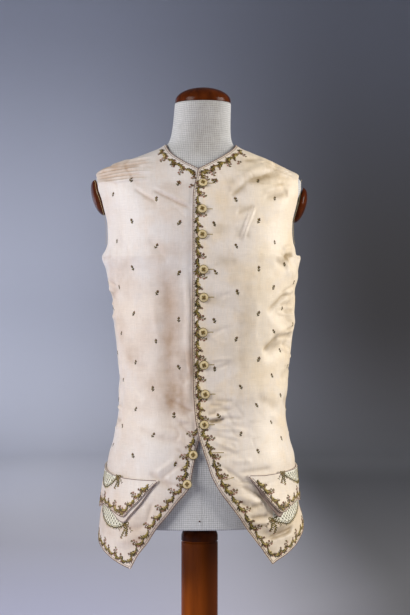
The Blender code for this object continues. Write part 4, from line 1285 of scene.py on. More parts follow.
def leafShape(work, anchor, base, turn, length, width, kind, curl=0.0, tint=0.5, height=0.55):
    # a pointed leaf or petal from its base, bent by curl
    count = 6
    t = np.linspace(0, 1, count)
    bend = turn + curl * (t - 0.2)
    steps = np.stack([np.cos(bend), np.sin(bend)], 1) * length / (count - 1)
    points = np.asarray(base) + np.concatenate([[[0, 0]], np.cumsum(steps[:-1], axis=0)])
    half = width / 2 * np.sin(np.pi * (0.06 + 0.9 * t)) ** 0.8
    shape(work, anchor, points, half, height, kind, tint)


def knot(work, anchor, at, radius, kind, tint=0.5, height=0.6, foot=0.05):
    # a small raised knot, highest in its middle
    sides = 7
    turns = fullTurn(sides)
    offset = np.concatenate([[[0, 0]], np.stack([np.cos(turns), np.sin(turns)], 1) * radius])
    lift = np.concatenate([[height], np.full(sides, foot)])
    ring = np.arange(sides)
    after = 1 + (ring + 1) % sides
    faces = np.stack([0 * ring, 1 + ring, after, after], 1)
    away = np.r_[0, np.full(sides, radius)]
    thread = np.column_stack([away, away, np.full(sides + 1, tint / mm)]) * mm
    work.add(toSheet(anchor, offset + np.asarray(at)), lift, thread, faces, kind)


def flowerShape(work, anchor, at, radius, petals, kind, centre, rng):
    spin = rng.uniform(0, math.tau)
    for i in range(petals):
        turn = spin + math.tau * i / petals
        start = np.asarray(at) + 0.22 * radius * direction(turn)
        leafShape(work, anchor, start, turn, radius * 0.85, radius * 0.95, kind,
                  tint=rng.uniform(0.2, 1), height=0.7)
    knot(work, anchor, at, radius * 0.3, centre, height=1.0)


# shares of the sprig's size; its leaves are (where on the stem, lean, length)
sprigValues = {
    "stem": (-0.5, 0.42), "leafWidth": 0.23, "budAt": 0.36, "bud": 0.17,
    "leaves": ((-0.38, 0.7, 0.42), (-0.30, -0.8, 0.38), (-0.02, 0.6, 0.42), (0.06, -0.75, 0.34),
               (0.2, 0.5, 0.26)),
}


def sprigShape(work, anchor, turn, size, rng):
    # the small powdered sprig: a short stem, five leaves and a bud
    v, along = sprigValues, direction(turn)
    stem = np.linspace(*v["stem"], 5)[:, None] * along * size
    shape(work, anchor, stem, np.full(5, 0.45), 0.4, "deepGreen", 0.1)
    hand = rng.choice([-1, 1])
    for step, lean, length in v["leaves"]:
        leafShape(work, anchor, along * size * step, turn + hand * (lean + rng.uniform(-0.2, 0.2)),
                  size * length * rng.uniform(0.85, 1.15), size * v["leafWidth"],
                  "olive" if step > 0.1 or hand * lean > 0 else "deepGreen", -hand * 0.2,
                  rng.uniform(0, 0.6))
    flowerShape(work, anchor, along * size * v["budAt"], size * v["bud"], 4, "madder",
                "deepGreen", rng)


def resample(places, step=1.0):
    # even steps of real length along a path of s and z
    run = runOf(readSurface(surfacePoint, places[:, 0], places[:, 1]))
    at = np.linspace(0, run[-1], max(2, int(run[-1] / step) + 1))
    return np.stack([np.interp(at, run, places[:, 0]), np.interp(at, run, places[:, 1])], 1)


def softened(places, spread):
    # rounds off corners, so that offset lines don't cross
    kernel = np.hanning(2 * spread + 1)
    kernel /= kernel.sum()
    far = np.arange(1, spread + 1)[:, None]
    before = places[:1] + (places[0] - places[1]) * far[::-1]
    after = places[-1:] + (places[-1] - places[-2]) * far
    padded = np.concatenate([before, places, after])
    return np.stack([np.convolve(padded[:, k], kernel, "valid") for k in (0, 1)], 1)


def inwards(places, side):
    # unit steps into the cloth, square to the path, in real millimetres
    return leftOf(fromSheet(np.gradient(places, axis=0), places)) * side


def headings(places):
    # the angle of a path on the cloth at each of its places
    return angleOf(fromSheet(np.gradient(places, axis=0), places))


def offsetPath(places, side, distance):
    return toSheet(places, inwards(places, side) * distance)


edgeValues = {"cordAt": 0.7, "cordHalf": 0.62, "innerAt": 3.8, "innerHalf": 0.32, "barEvery": 3,
              "barAt": 2.3, "barHalf": 0.42, "barReach": 0.7}


def clearOf(places, others, distance):
    # the part of a path that keeps its distance from the other edges
    real = readSurface(surfacePoint, places[:, 0], places[:, 1])
    keep = np.ones(len(places), bool)
    for other in others:
        edge = readSurface(surfacePoint, other[:, 0], other[:, 1])
        keep &= np.linalg.norm(real[:, None] - edge[None], axis=2).min(1) > distance * 0.97
    return places[keep]


def edgeFinish(work, places, side, others=()):
    # the dark cord on the edge, a finer line inside it and short bars between
    v = edgeValues
    line(work, offsetPath(places, side, v["cordAt"]), v["cordHalf"], 0.6, "mauve", 0.4)
    inner = clearOf(offsetPath(places, side, v["innerAt"]), others, v["innerAt"])
    line(work, inner, v["innerHalf"], 0.35, "mauve", 0.8)
    middle, normal = offsetPath(places, side, v["barAt"]), inwards(places, side)
    for k in range(2, len(places) - 2, v["barEvery"]):
        reach = np.array([[-v["barReach"]], [v["barReach"]]]) * normal[k]
        shape(work, middle[k], reach, np.full(2, v["barHalf"]), 0.3,
              "straw" if k % 2 else "mauve", 0.9)


# the vine: a scroll's length, how far in it runs, and further at the neck and skirts, its leaves
vineValues = {"scroll": 17.0, "points": 20, "low": 8.6, "neck": 3.4, "skirt": 3.0, "rise": 3.4,
              "leaf": 5.6, "leafWidth": 2.2, "headTurns": (-1.4, -0.5, 0.4, 1.3),
              "outer": ("deepGreen", "deepGreen", "madder", "olive"),
              "inner": ("gold", "olive", "deepGreen", "straw")}


def readAlong(values, index):
    # the values between a path's places
    whole = np.arange(len(values))
    return np.stack([np.interp(index, whole, values[:, k]) for k in (0, 1)], 1)


def leafyScroll(work, scroll, angle, side, neck, rng):
    # one scroll of the vine: its stem and vein, leaves to both sides, and a curled head
    v = vineValues
    t, head = np.linspace(0, 1, v["points"]), v["points"] - 1
    line(work, scroll, 0.6 + 0.8 * np.sin(math.pi * (0.08 + 0.8 * t)), 0.6, "deepGreen",
         rng.uniform(0.5, 1.0))
    for k in range(0, head, 2):
        for hand in (1, -1):
            size = (0.6 + 0.5 * math.sin(math.pi * t[k])) * rng.uniform(0.75, 1.2)
            size *= 1 + 0.08 * neck[k]
            kind = rng.choice(v["outer"] if hand * side < 0 else v["inner"])
            leafShape(work, scroll[k], (0, 0), angle[k] + hand * rng.uniform(0.45, 1.0),
                      v["leaf"] * size, v["leafWidth"] * size, kind, hand * 0.5,
                      rng.uniform(0, 0.7))
    line(work, scroll[2:-2], 0.25 + 0.55 * np.sin(math.pi * t[2:-2]), 0.85, "gold",
         rng.uniform(0.5, 1.0))
    for spread in v["headTurns"]:
        leafShape(work, scroll[head], (0, 0), angle[head] + side * 0.4 + spread,
                  rng.uniform(3.0, 4.4), 1.3, rng.choice(("deepGreen", "deepGreen", "olive")),
                  side * 0.6, rng.uniform(0, 0.6))


def scrollVine(work, places, side, seed, start, end, first=0, low=vineValues["low"], skirts=False):
    # a chain of leafy scrolls that hug an edge and curl away from it, with sprigs between
    v = vineValues
    rng = random.Random(seed)
    normals = inwards(places, side)
    t, head = np.linspace(0, 1, v["points"]), v["points"] - 1
    last, at, number = len(places) - 1 - end, float(start), first
    while at + v["scroll"] * 0.8 < last:
        length = v["scroll"] * rng.uniform(0.86, 1.1)
        index = np.clip(at + t * length, 0, len(places) - 1)
        edge, normal = readAlong(places, index), readAlong(normals, index)
        neck = smooth((edge[:, 1] - 851) / 10)
        skirt = smooth((425 - edge[:, 1]) / 50) * smooth((edge[:, 1] - 225) / 70) * skirts
        inset = v["neck"] * neck + v["skirt"] * skirt
        away = low + inset + 1.8 * (1 - t) ** 2 - 1.7 * np.sin(math.pi * t) + v["rise"] * t ** 3
        scroll = toSheet(edge, normal * away[:, None])
        angle = headings(scroll)
        leafyScroll(work, scroll, angle, side, neck, rng)
        number += 1
        if at + length < last - 4:
            if number % 2 == 0:
                flowerSprig(work, scroll[head - 2], angle[head - 2], normal[head - 2], rng, number)
                at += length * 0.2
            else:
                budSpray(work, scroll[head - 1], angle[head - 1], normal[head - 1], rng, number)
        at += length * 0.95


# the spray's leaves: side, length, lean
sprayLeaves = ((1, 5.4, -0.5), (1, 4.4, 0.6), (-1, 3.4, -0.7), (-1, 3.0, 0.6))


def budSpray(work, anchor, angle, normal, rng, number):
    # a short spray between two scrolls: two buds, and leaves to both sides of the vine
    along = direction(angle)
    flowerShape(work, anchor, along * 1.8 - normal * 2.0, rng.uniform(1.6, 2.0), 4,
                "rose" if number % 3 else "madder", "straw", rng)
    flowerShape(work, anchor, along * 3.4 + normal * 3.0, rng.uniform(1.7, 2.1), 4,
                "madder" if number % 2 else "rose", "deepGreen", rng)
    for hand, reach, lean in sprayLeaves:
        turn = angleOf(normal) + (0 if hand > 0 else math.pi)
        turn += lean * rng.uniform(0.8, 1.4)
        leafShape(work, anchor, along * (1.6 + 1.5 * lean), turn, reach * rng.uniform(0.85, 1.2),
                  1.15, rng.choice(("deepGreen", "madder", "olive")), rng.uniform(-0.5, 0.5),
                  rng.uniform(0, 0.5))


flowerSprigValues = {
    "reach": (10.5, 13.5), "firstFlower": (2.0, 2.4), "flower": (1.7, 2.2), "aside": 3.3,
    "leaf": (3.6, 4.8), "leafWidth": 1.2,
    "flowers": ((0.18, 1, "madder"), (0.36, -1, "rose"), (0.62, 1, "madder"), (0.78, -1, "rose")),
    "leaves": ((0.08, -1), (0.3, 1), (0.5, -1), (0.62, 1), (0.86, -1)),  # share of reach, side
}


def flowerSprig(work, anchor, angle, normal, rng, number):
    # a sprig of small flowers and buds that leans in from the vine
    v, along = flowerSprigValues, direction(angle)
    lean = normal * 0.93 + along * rng.uniform(0.2, 0.6)
    lean = lean / np.linalg.norm(lean)
    turn = angleOf(lean)
    across = np.array([-lean[1], lean[0]])
    reach = rng.uniform(*v["reach"])
    shape(work, anchor, np.linspace(-0.2, 1, 6)[:, None] * lean * reach, np.full(6, 0.42), 0.4,
          "deepGreen", 0.2)
    flowerShape(work, anchor, along * 1.8 - normal * 2.4, rng.uniform(*v["firstFlower"]), 5,
                "rose" if number % 4 else "madder", "straw", rng)
    for share, hand, kind in v["flowers"]:
        flowerShape(work, anchor, lean * reach * share + across * v["aside"] * hand,
                    rng.uniform(*v["flower"]), 4, kind, "deepGreen", rng)
    for share, hand in v["leaves"]:
        leafShape(work, anchor, lean * reach * share, turn + hand * rng.uniform(0.7, 1.2),
                  rng.uniform(*v["leaf"]) * (1.1 - 0.3 * share), v["leafWidth"],
                  rng.choice(("deepGreen", "olive", "madder", "olive")), -hand * 0.3,
                  rng.uniform(0, 0.5))
    for spread in (-0.7, 0.0, 0.7):
        leafShape(work, anchor, lean * reach * 0.94, turn + spread, 3.0, 1.3,
                  "madder" if number % 2 else "olive", 0, rng.uniform(0, 0.6))


# the powdered repeat: columns round from the middle of the front, and how the grain climbs outwards
spotValues = {
    "down": 80.7, "top": 765.0, "size": 10.0, "low": 358, "high": 850, "underarm": 700,
    "right": {"columns": [41, 80, 123, 158, 191, 222], "climb": 3.6, "climbByRow": 0.6},
    "left": {"columns": [19, 57, 96, 127, 151, 184, 214], "climb": 2.2, "climbByRow": 1.5},
}


def powder(work, side):
    # the half-drop repeat of small sprigs over a front
    v, own, sign = spotValues, spotValues[side], fronts[side]["sign"]
    rng = random.Random(40 + sign)
    for column, across in enumerate(own["columns"]):
        for row in range(-1, 6):
            z = v["top"] - v["down"] * row + (v["down"] / 2 if column % 2 else 0)
            z -= 10 if row < 0 else 0
            z += column * (own["climb"] + own["climbByRow"] * max(row, 0))
            s = sign * (across + (7 if row > 3 and column < 2 else 0))
            if not v["low"] < z < v["high"]:
                continue
            low, high = sorted((float(frontInner(side, z)), float(frontOuter(side, z))))
            if not low + 13 < s < high - 6 or (column > 3 and z > v["underarm"]):
                continue
            lean = sign * rng.choice([0.5, 0.35, -0.45, 0.6, 0.05])
            sprigShape(work, (s + rng.uniform(-1.5, 1.5), z + rng.uniform(-2, 2)),
                       math.pi / 2 + lean,
                       v["size"] * (0.84 if column > 2 else 1) * rng.uniform(0.88, 1.1), rng)


netValues = {"columns": 60, "rows": 18, "pitch": 7.8, "start": 240, "knot": 1.5, "smallKnot": 1.15,
             "thread": 0.24, "ground": 0.12, "garland": 0.95, "underline": 3.4}


def swag(work, ends, top, seed):
    # netting between a garland (its points in s and z) and the edge that it hangs from
    rng = random.Random(seed)
    ends = np.array(sorted(ends), float)
    v = netValues
    columns, rows = v["columns"], v["rows"]
    s = np.linspace(ends[0, 0], ends[-1, 0], columns)
    low = np.interp(s, ends[:, 0], ends[:, 1])
    garland = resample(softened(np.stack([s, low], 1), 5))
    share = np.linspace(0, 1, rows)[:, None]
    ground = np.stack([np.repeat(s[None], rows, 0), low * (1 - share) + top(s) * share], -1)
    work.add(ground.reshape(-1, 2), np.full(rows * columns, v["ground"]),
             np.tile([0, 0, 0.9], (rows * columns, 1)), gridFaces(rows, columns), "ivory")
    line(work, garland, v["garland"], 0.6, "deepGreen", 0.6)
    angle = headings(garland)
    for k in range(1, len(garland) - 1, 2):
        hand = 1 if (k // 2) % 2 else -1
        leafShape(work, garland[k], (0, 0), angle[k] + hand * 0.8, rng.uniform(3.8, 5.4), 1.9,
                  rng.choice(("olive", "deepGreen", "gold", "olive")), hand * 0.3,
                  rng.uniform(0, 0.8))
    line(work, garland + [0, v["underline"]], 0.4, 0.3, "olive", 0.9)
    spots = {}  # the net's crossings
    for i in range(-30, 130):
        for j in range(-90, 90):
            place = (ends[0, 0] + (i + j) * v["pitch"] / 2, v["start"] + (i - j) * v["pitch"] / 2)
            inside = ends[0, 0] + 1 < place[0] < ends[-1, 0] - 1
            if inside and (np.interp(place[0], ends[:, 0], ends[:, 1]) + 4 < place[1]
                           < float(top(place[0])) - 0.8):
                spots[(i, j)] = place
    for (i, j), place in spots.items():
        radius = v["knot"] if (i + 2 * j) % 3 else v["smallKnot"]
        knot(work, place, (0, 0), radius, "deepGreen", 0.1, 0.75, 0.3)
        for other in ((i + 1, j), (i, j + 1)):
            if other in spots:
                step = np.array(spots[other]) - np.array(place)
                flat = fromSheet(step[None], np.array([place]))[0]
                shape(work, place, np.array([flat * 0.1, flat * 0.9]), np.full(2, v["thread"]),
                      0.4, "olive", 0.9)


bowValues = {
    "loopHalf": 0.95, "tailLeaf": (3.4, 4.8), "tailLeafWidth": 1.9,
    "fan": (0.2, 0.9, 1.6, 2.3, 3.0, 3.7, 5.6), "fanLeaf": 5.4, "fanLeafWidth": 1.7,
    "spray": [[0, 0], [0.55, -0.1], [1.0, -0.45], [1.35, -0.95]], "sprayLeaf": (2.8, 3.8),
    "sprayLeafWidth": 1.3, "flower": 2.4,
}


def bow(work, anchor, sign, size, rng):
    # two loops, two leafy tails, a fan of leaves, two leafy sprays and a flower over the knot
    v = bowValues
    for hand in (-1, 1):
        turn = np.linspace(0, 1, 12)
        loop = np.stack([hand * size * np.sin(math.pi * turn) * (0.55 + 0.5 * turn),
                         size * (0.15 + 0.62 * np.sin(math.pi * turn) * np.cos(2.2 * turn))], 1)
        shape(work, anchor, loop, np.full(12, v["loopHalf"]), 0.6, "olive", 0.4)
        tail = np.stack([hand * size * (0.1 + 0.5 * turn) + sign * 0.1 * turn,
                         -size * (0.1 + (1.9 + 0.5 * (hand == sign)) * turn)], 1)
        tail[:, 0] += 0.12 * size * np.sin(5 * turn)
        shape(work, anchor, tail, 0.45 + 0.6 * np.sin(math.pi * turn), 0.5, "olive", 0.5)
        for k in range(1, 11):
            leafShape(work, anchor, tail[k], -math.pi / 2 + hand * 0.8 * (1 if k % 2 else -1),
                      rng.uniform(*v["tailLeaf"]), v["tailLeafWidth"],
                      rng.choice(("olive", "deepGreen", "deepGreen")), 0, rng.uniform(0, 1))
        knot(work, anchor, tail[-1], 1.2, "rose")
    for turn in v["fan"]:
        leafShape(work, anchor, (0, 0), turn, v["fanLeaf"], v["fanLeafWidth"],
                  "olive" if turn > 2 else "deepGreen", 0, 0.3)
    for hand in (-1, 1):
        spray = np.array(v["spray"]) * [hand * size, size]
        shape(work, anchor, spray, np.full(4, 0.4), 0.4, "deepGreen", 0.4)
        for k in (1, 2, 3):
            for lean in (-0.9, 0.7):
                leafShape(work, anchor, spray[k], -0.8 + lean if hand > 0 else -2.3 - lean,
                          rng.uniform(*v["sprayLeaf"]), v["sprayLeafWidth"],
                          rng.choice(("olive", "deepGreen", "madder")), 0, rng.uniform(0, 0.8))
    flowerShape(work, anchor, (0, 0), v["flower"], 5, "madder", "gold", rng)


def buttonhole(work, z, x, reach, rise=0.0):
    # a worked slit beside each button
    anchor = (x, z)
    slit = np.array([[8.0, 0.2], [8.0 + reach * 0.5, 0.5 + rise / 2], [8.0 + reach, 0.4 + rise]])
    for shift in (-0.5, 0.5):
        shape(work, anchor, slit + [0, shift], np.full(3, 0.34), 0.4, "straw", 0.1)
    shape(work, anchor, slit, np.full(3, 0.3), 0.52, "deepGreen", 0.3)
    knot(work, anchor, slit[-1], 0.7, "deepGreen", 0.1, 0.5)


def flapPath(side, along, z):
    # a path across a flap, at distances from its front point
    s = fronts[side]["sign"] * (flapValues[side]["front"] + along)
    return resample(np.stack([s, z], 1))


# the low edge of each netted swag in s and z, from its bow to the side
swags = {
    "flapRight": [(-154, 336), (-162, 331), (-174, 323), (-188, 317), (-204, 320), (-222, 331)],
    "lowRight": [(-137, 259), (-146, 256), (-161, 252), (-183, 255), (-200, 266), (-224, 284)],
    "flapLeft": [(144, 342), (151, 338), (172, 329), (196, 323), (216, 324), (236, 331)],
    "lowLeft": [(121, 266), (133, 262), (150, 258), (170, 263), (191, 276), (206, 288)],
}
# sprays that fill the corners at the neck: s, z and turn
looseSprays = {"right": [(-40, 834, 1.4), (-18, 829, 2.6), (-14, 843, 2.2), (-52, 866, 0.4)],
               "left": [(22, 837, 1.2), (66, 872, 2.9)]}
# the vine down each front's edge, none where the left front covers it: from, to, seed, start
edgeRuns = {"left": [(908, fronts["left"]["hemLow"], 11, 17)],
            "right": [(908, 859, 12, 17), (430, fronts["right"]["hemLow"], 23, 5)]}
openHoles = ((381, 7, 19, 0), (333, 16, 27, 7))  # on the open skirt: z, x, reach and rise


# a stitched line follows each armhole, and each net hangs below a height or a flap's top edge
stitchingValues = {"lineFrom": 728, "lineTo": 852, "lineIn": 7.5, "netTop": 300.0,
                   "flapNetBelow": 1.5, "frontBow": 9.0, "flapBow": 7.5, "flapVineIn": 6.5,
                   "cordTo": 104, "cordIn": 0.8}


def edgePath(edge, side, zs):
    return resample(np.stack([edge(side, zs), zs], 1))


def makeFrontStitching(side):
    sign, hemLow, hemTop = [fronts[side][part] for part in ("sign", "hemLow", "hemTop")]
    work = Stitching(lambda s, z: frontLift(side, s, z))
    hem = edgePath(frontOuter, side, np.linspace(hemLow, hemTop, 300))
    for top, low, seed, start in edgeRuns[side]:
        path = edgePath(frontInner, side, np.linspace(top, low, int((top - low) * 2)))
        atHem = low == hemLow
        edgeFinish(work, softened(path, 2), sign, (hem,) if atHem else ())
        scrollVine(work, softened(path, 9), sign, seed, start, 4 if atHem else 1, seed % 2,
                   skirts=True)
    front = edgePath(frontInner, side, np.linspace(hemLow, 330, 300))
    edgeFinish(work, softened(hem, 2), sign, (front,))
    scrollVine(work, softened(hem, 9), sign, 31, 8, 1)
    powder(work, side)
    rng = random.Random(7)
    for s, z, turn in looseSprays[side]:
        budSpray(work, (s, z), turn, np.array([-math.sin(turn), math.cos(turn)]), rng, 2)
        sprigShape(work, (s, z + 2), turn, 8.0, rng)
    v = stitchingValues
    armhole = edgePath(frontOuter, side, np.linspace(v["lineFrom"], v["lineTo"], 120))
    line(work, offsetPath(softened(armhole, 4), -sign, v["lineIn"]), 0.3, 0.25, "straw", 1.0)
    if side == "left":
        for z, x in buttonRows:
            buttonhole(work, z, float(roundToX(x, z)), 9.0)
        for hole in openHoles:
            buttonhole(work, *hole)
    low = swags["low" + side.title()]
    swag(work, low, lambda s: v["netTop"] + 0 * s, 5)
    bow(work, low[0], sign, v["frontBow"], rng)
    work.make("embroideryFront" + side.title())


def makeFlapStitching(side):
    v, own, sign = stitchingValues, flapValues[side], fronts[side]["sign"]
    work = Stitching(lambda s, z: flapLift(side, "flap", s, z))
    along = np.linspace(0, flapValues["width"], 400)
    low = flapPath(side, along, own["height"] + flapLow[side](along))
    top = flapPath(side, along, flapTopAt(side, along) - v["cordIn"])
    edgeFinish(work, softened(low, 2), sign, (top,))
    line(work, top[3:], 0.5, 0.5, "mauve", 0.5)
    scrollVine(work, softened(low, 6), sign, 51, 14, 3, low=v["flapVineIn"])
    net = swags["flap" + side.title()]
    swag(work, net, lambda s: flapTopAt(side, abs(s) - own["front"]) - v["flapNetBelow"], 8)
    bow(work, net[0], sign, v["flapBow"], random.Random(9))
    work.make("embroideryFlap" + side.title())
    cord = Stitching(lambda s, z: flapLift(side, "lining", s, z))
    along = np.linspace(4, v["cordTo"], 200)
    z = flapTopAt(side, along) - flapReach(side, "lining", along) + v["cordIn"]
    line(cord, flapPath(side, along, z), 0.55, 0.4, "mauve", 0.5)
    cord.make("liningCord" + side.title())


for side in ("left", "right"):
    makeFrontStitching(side)
for side in ("right", "left"):
    makeFlapStitching(side)
print("embroidery ready")

buttonValues = {"radius": 8.2, "depth": 4.9, "lift": 0.8, "petals": 8, "cordAt": 0.76,
                "footAt": 0.93, "sides": 40, "dip": 0.35}


def buttonMaterial():
    material, tree, shader = newMaterial("buttonSilk", 0.45, Sheen_Weight=0.25,
                                         Specular_IOR_Level=0.5)
    lay = readAttribute(tree, "lay", "Vector")
    weave = useGroup(tree, weaveGroup, Lay=lay, Thread_Density=1500.0, Slub=0.6)
    aged = useGroup(tree, ageGroup, Lay=stretched(tree, lay, 5, 5, 5), Color=(0.72, 0.56, 0.29),
                    Tone=(0.60, 0.43, 0.18), Cool=(0.74, 0.62, 0.38), Mottle=0.6)
    tree.links.new(aged.outputs["Color"], shader.inputs["Base Color"])
    addBump(tree, shader, weave.outputs["Height"], 0.4, 0.0003)
    return material


def crown(distance):
    # the button's height at a distance from its middle
    share = np.clip(distance / buttonValues["radius"], 0, 1)
    return buttonValues["depth"] * (1 - share ** 3.4) ** 0.55 * 0.86


def buttonBody():
    # the silk dome, with a dip inside the cord, and its flat back
    v = buttonValues
    radius, sides = v["radius"], v["sides"]
    rings = np.sin(np.linspace(0, math.pi / 2, 14))[1:] * radius
    dips = v["dip"] * np.exp(-((rings / radius - v["cordAt"] + 0.10) / 0.05) ** 2)
    heights = crown(rings) - dips + 0.001
    points, faces = [[0, 0, float(crown(0))]], []
    for r, height in [*zip(rings, heights), (radius * v["footAt"], 0.0), (0.01, 0.0)]:
        for a in fullTurn(sides):
            points.append([r * math.cos(a), r * math.sin(a), height])
    for k in range(sides):
        faces.append((0, 1 + k, 1 + (k + 1) % sides))
        for ring in range(len(rings) + 1):
            a, b = 1 + ring * sides + k, 1 + ring * sides + (k + 1) % sides
            faces.append((a, a + sides, b + sides, b))
    return points, faces


def buttonMesh():
    v = buttonValues
    radius = v["radius"]
    points, faces = buttonBody()
    thread, kinds = [[0, 0, 0]] * len(points), [0] * len(faces)

    def stitched(flat, half, height, kind, tint):
        flat, half = np.asarray(flat, float), np.asarray(half, float)
        offset, parts = ribbonParts(flat, half)
        away = np.linalg.norm(offset, axis=1)
        rise = np.tile([0.02, height, 0.02], len(flat))
        start = len(points)
        points.extend(np.column_stack([offset, crown(away) + rise]).tolist())
        thread.extend((threadOf(runOf(flat), half, tint) / mm).tolist())
        faces.extend((parts + start).tolist())
        kinds.extend([1 + threadNames.index(kind)] * len(parts))

    rng = random.Random(3)
    loop = np.linspace(0, math.tau, 61)
    circle = np.stack([np.cos(loop), np.sin(loop)], 1)
    stitched(circle * radius * v["cordAt"], np.full(61, 0.45), 0.35, "straw", 0.9)
    stitched(circle * radius * v["footAt"], np.full(61, 0.5), 0.3, "deepGreen", 0.8)
    for i in range(v["petals"]):
        a = math.tau * i / v["petals"] + 0.2
        ray = np.linspace(0.8, radius * (0.46 if i % 2 else 0.56), 6)[:, None]
        stitched(ray * direction(a), [0.3, 0.65, 0.9, 0.85, 0.5, 0.12], 0.45,
                 "gold" if i % 2 else "olive", rng.uniform(0.3, 1.0))
        a += math.pi / v["petals"]
        ray = np.linspace(radius * 0.2, radius * 0.52, 4)[:, None]
        stitched(ray * direction(a), [0.2, 0.3, 0.42, 0.2], 0.42, "madder", 0.3)
    for a in fullTurn(5):
        ray = np.linspace(0.1, 1.7, 3)[:, None]
        stitched(ray * direction(a), [0.4, 0.6, 0.2], 0.8, "madder", 0.2)
    return points, faces, kinds, thread


def makeButtons():
    points, faces, kinds, thread = buttonMesh()
    lay = np.asarray(points) * mm
    first = meshFrom("button01", points, faces, [buttonMaterial(), *threads.values()], kinds,
                     {"thread": np.asarray(thread) * mm, "lay": lay, "stainAndShade": np.zeros(len(points))})
    for number, (z, x) in enumerate(buttonRows + openButtonRows, 1):
        button = first
        if number > 1:
            button = link(bpy.data.objects.new(f"button{number:02d}", first.data))
        s = float(roundToX(x, z))
        lift = float(frontLift("left" if number <= len(buttonRows) else "right", s, z))
        normal = Vector(readSurface(surfaceNormal, s, z))
        point = Vector(readSurface(surfacePoint, s, z)) + normal * (lift + buttonValues["lift"])
        standOn(button, point, normal)
        spin = Quaternion((0, 0, 1), number * 1.7)  # no two buttons are turned alike
        button.rotation_quaternion = button.rotation_quaternion @ spin
        dress(button, f"button_{number:02d}")


makeButtons()
print("buttons ready")

stageValues = {  # metres, and the colours of the floor and of the backdrop's two sides, which hold painted light and shade
    "flat": 4.0, "radius": 6.6, "height": 3.4, "sides": 96,
    "floor": (0.585, 0.58, 0.665), "floorCool": (0.575, 0.59, 0.77),
    "floorLeft": (0.40, 0.413, 0.51), "floorFar": (0.78, 0.785, 0.89),
    "floorPaintedShadow": (0.18, 0.18, 0.19), "lightLow": (0.75, 0.77, 0.895),
    "light": (0.60, 0.62, 0.735), "lightTop": (0.268, 0.283, 0.356),
    "darkLow": (0.135, 0.128, 0.132), "dark": (0.105, 0.099, 0.100),
    "darkTop": (0.150, 0.157, 0.192), "haze": 0.1, "paintedPalerBand": 0.12,
}


def stageMesh(material):
    # a round floor whose edge curves up into a wall
    v = stageValues
    cove = v["radius"] - v["flat"]
    profile = [(0.02, 0), (1.2, 0), (v["flat"], 0)]
    profile += [(v["flat"] + cove * math.sin(a), cove * (1 - math.cos(a)))
                for a in np.linspace(0.1, math.pi / 2, 12)] + [(v["radius"], v["height"])]
    sides = v["sides"]
    points = [(r * math.sin(a), r * math.cos(a), h) for r, h in profile for a in fullTurn(sides)]
    faces = [(r * sides + k, r * sides + (k + 1) % sides, (r + 1) * sides + (k + 1) % sides,
              (r + 1) * sides + k) for r in range(len(profile) - 1) for k in range(sides)]
    faces.append(tuple(range(sides)))
    return meshFrom("stage", np.asarray(points) / mm, faces, [material])


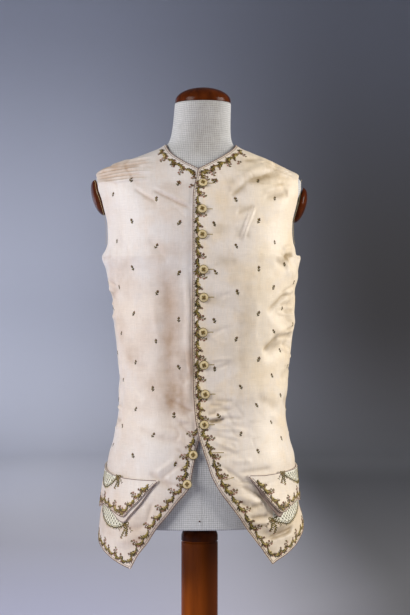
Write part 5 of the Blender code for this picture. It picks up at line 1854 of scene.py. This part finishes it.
def backdropMaterial():
    # a pale floor that turns into a wall, with light and shade painted into its colours: the wall
    # light on the left and dark on the right, changing with height, and the floor darker to the right
    v = stageValues
    material, tree, shader = newMaterial("backdrop", 0.95, Specular_IOR_Level=0.1)
    place = tree.nodes.new("ShaderNodeTexCoord").outputs["Object"]
    across, back, height = splitNode(tree, place)

    def blend(value, low, high, first, second):
        # the first colour turns into the second between two distances, in metres
        return mixColor(tree, rangeNode(tree, value, low, high), first, second)

    # painted light and shade: the wall light on the left, dark on the right, its brightness changing
    # with height
    up = rangeNode(tree, height, 0.7, 2.5)
    left = mixColor(tree, up, blend(height, 0.12, 0.7, v["lightLow"], v["light"]), v["lightTop"])
    right = mixColor(tree, up, blend(height, 0.1, 0.6, v["darkLow"], v["dark"]), v["darkTop"])
    wall = blend(across, -0.5, 1.3, left, right)
    # painted shade: the far floor darker towards the far left
    far = blend(across, -1.0, -0.35, v["floorLeft"], v["floorFar"])
    close = blend(across, -0.35, 0.3, v["floorCool"], v["floor"])
    near = blend(back, 0.3, 2.0, close, far)
    slanted = plus(tree, across, times(tree, back, -0.04))
    # painted shadow: the floor turns dark past a slanted line to the right
    ground = blend(slanted, 0.02, 0.5, near, v["floorPaintedShadow"])
    # painted light: a paler band across the floor before the wall
    paintedPalerBand = times(tree, rangeNode(tree, back, 2.9, 3.9), v["paintedPalerBand"])
    ground = mixColor(tree, paintedPalerBand, ground, (1, 1, 1))
    toned = blend(back, 3.2, 5.6, ground, wall)
    haze = noiseNode(tree, place, 0.7, 3.0)
    tree.links.new(mixColor(tree, times(tree, haze, v["haze"]), toned, v["dark"]),
                   shader.inputs["Base Color"])
    return material


lightValues = {  # place, target, size, power and colour
    "keyLeft": ((-2.55, -1.6, 1.7), (0, 0, 0.6), 1.7, 95, (1.0, 0.985, 0.965)),
    "keyRight": ((2.85, -0.68, 1.4), (0, 0, 0.62), 1.7, 112, (1.0, 0.975, 0.94)),
    "backdropLeft": ((-2.9, 2.2, 0.5), (-1.6, 6.5, 0.75), 1.5, 160, (0.9, 0.94, 1.0)),
}
worldValues = {"color": (0.72, 0.76, 0.88, 1), "strength": 0.10}
cameraValues = {"turn": 3.4, "away": 2.8, "aside": 0.0096, "height": 0.625, "lens": 93.7,
                "sensor": 36}


def makeLights():
    for name, (location, target, size, power, color) in lightValues.items():
        data = bpy.data.lights.new(name, "AREA")
        data.size, data.energy, data.color = size, power, color
        light = link(bpy.data.objects.new(name, data))
        light.location = location
        aim = Vector(location) - Vector(target)
        light.rotation_mode = "QUATERNION"
        light.rotation_quaternion = aim.to_track_quat("Z", "Y")
        light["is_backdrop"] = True
    world = bpy.data.worlds.new("studio")
    world.use_nodes = True
    background = world.node_tree.nodes["Background"]
    background.inputs["Color"].default_value = worldValues["color"]
    background.inputs["Strength"].default_value = worldValues["strength"]
    bpy.context.scene.world = world


def makeCamera():
    v = cameraValues
    turn = math.radians(v["turn"])
    look = Vector((math.sin(turn), math.cos(turn), 0))
    aside = Vector((math.cos(turn), -math.sin(turn), 0))
    data = bpy.data.cameras.new("camera")
    data.lens, data.sensor_width = v["lens"], v["sensor"]
    camera = link(bpy.data.objects.new("camera", data))
    camera.location = look * -v["away"] + aside * v["aside"] + Vector((0, 0, v["height"]))
    camera.rotation_mode = "QUATERNION"
    camera.rotation_quaternion = look.to_track_quat("-Z", "Y")
    bpy.context.scene.camera = camera


stageMesh(backdropMaterial())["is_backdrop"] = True
makeLights()
makeCamera()
bpy.context.scene.view_settings.view_transform = "Standard"
bpy.context.view_layer.update()
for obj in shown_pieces():
    print("piece", obj.name)
print("scene ready")
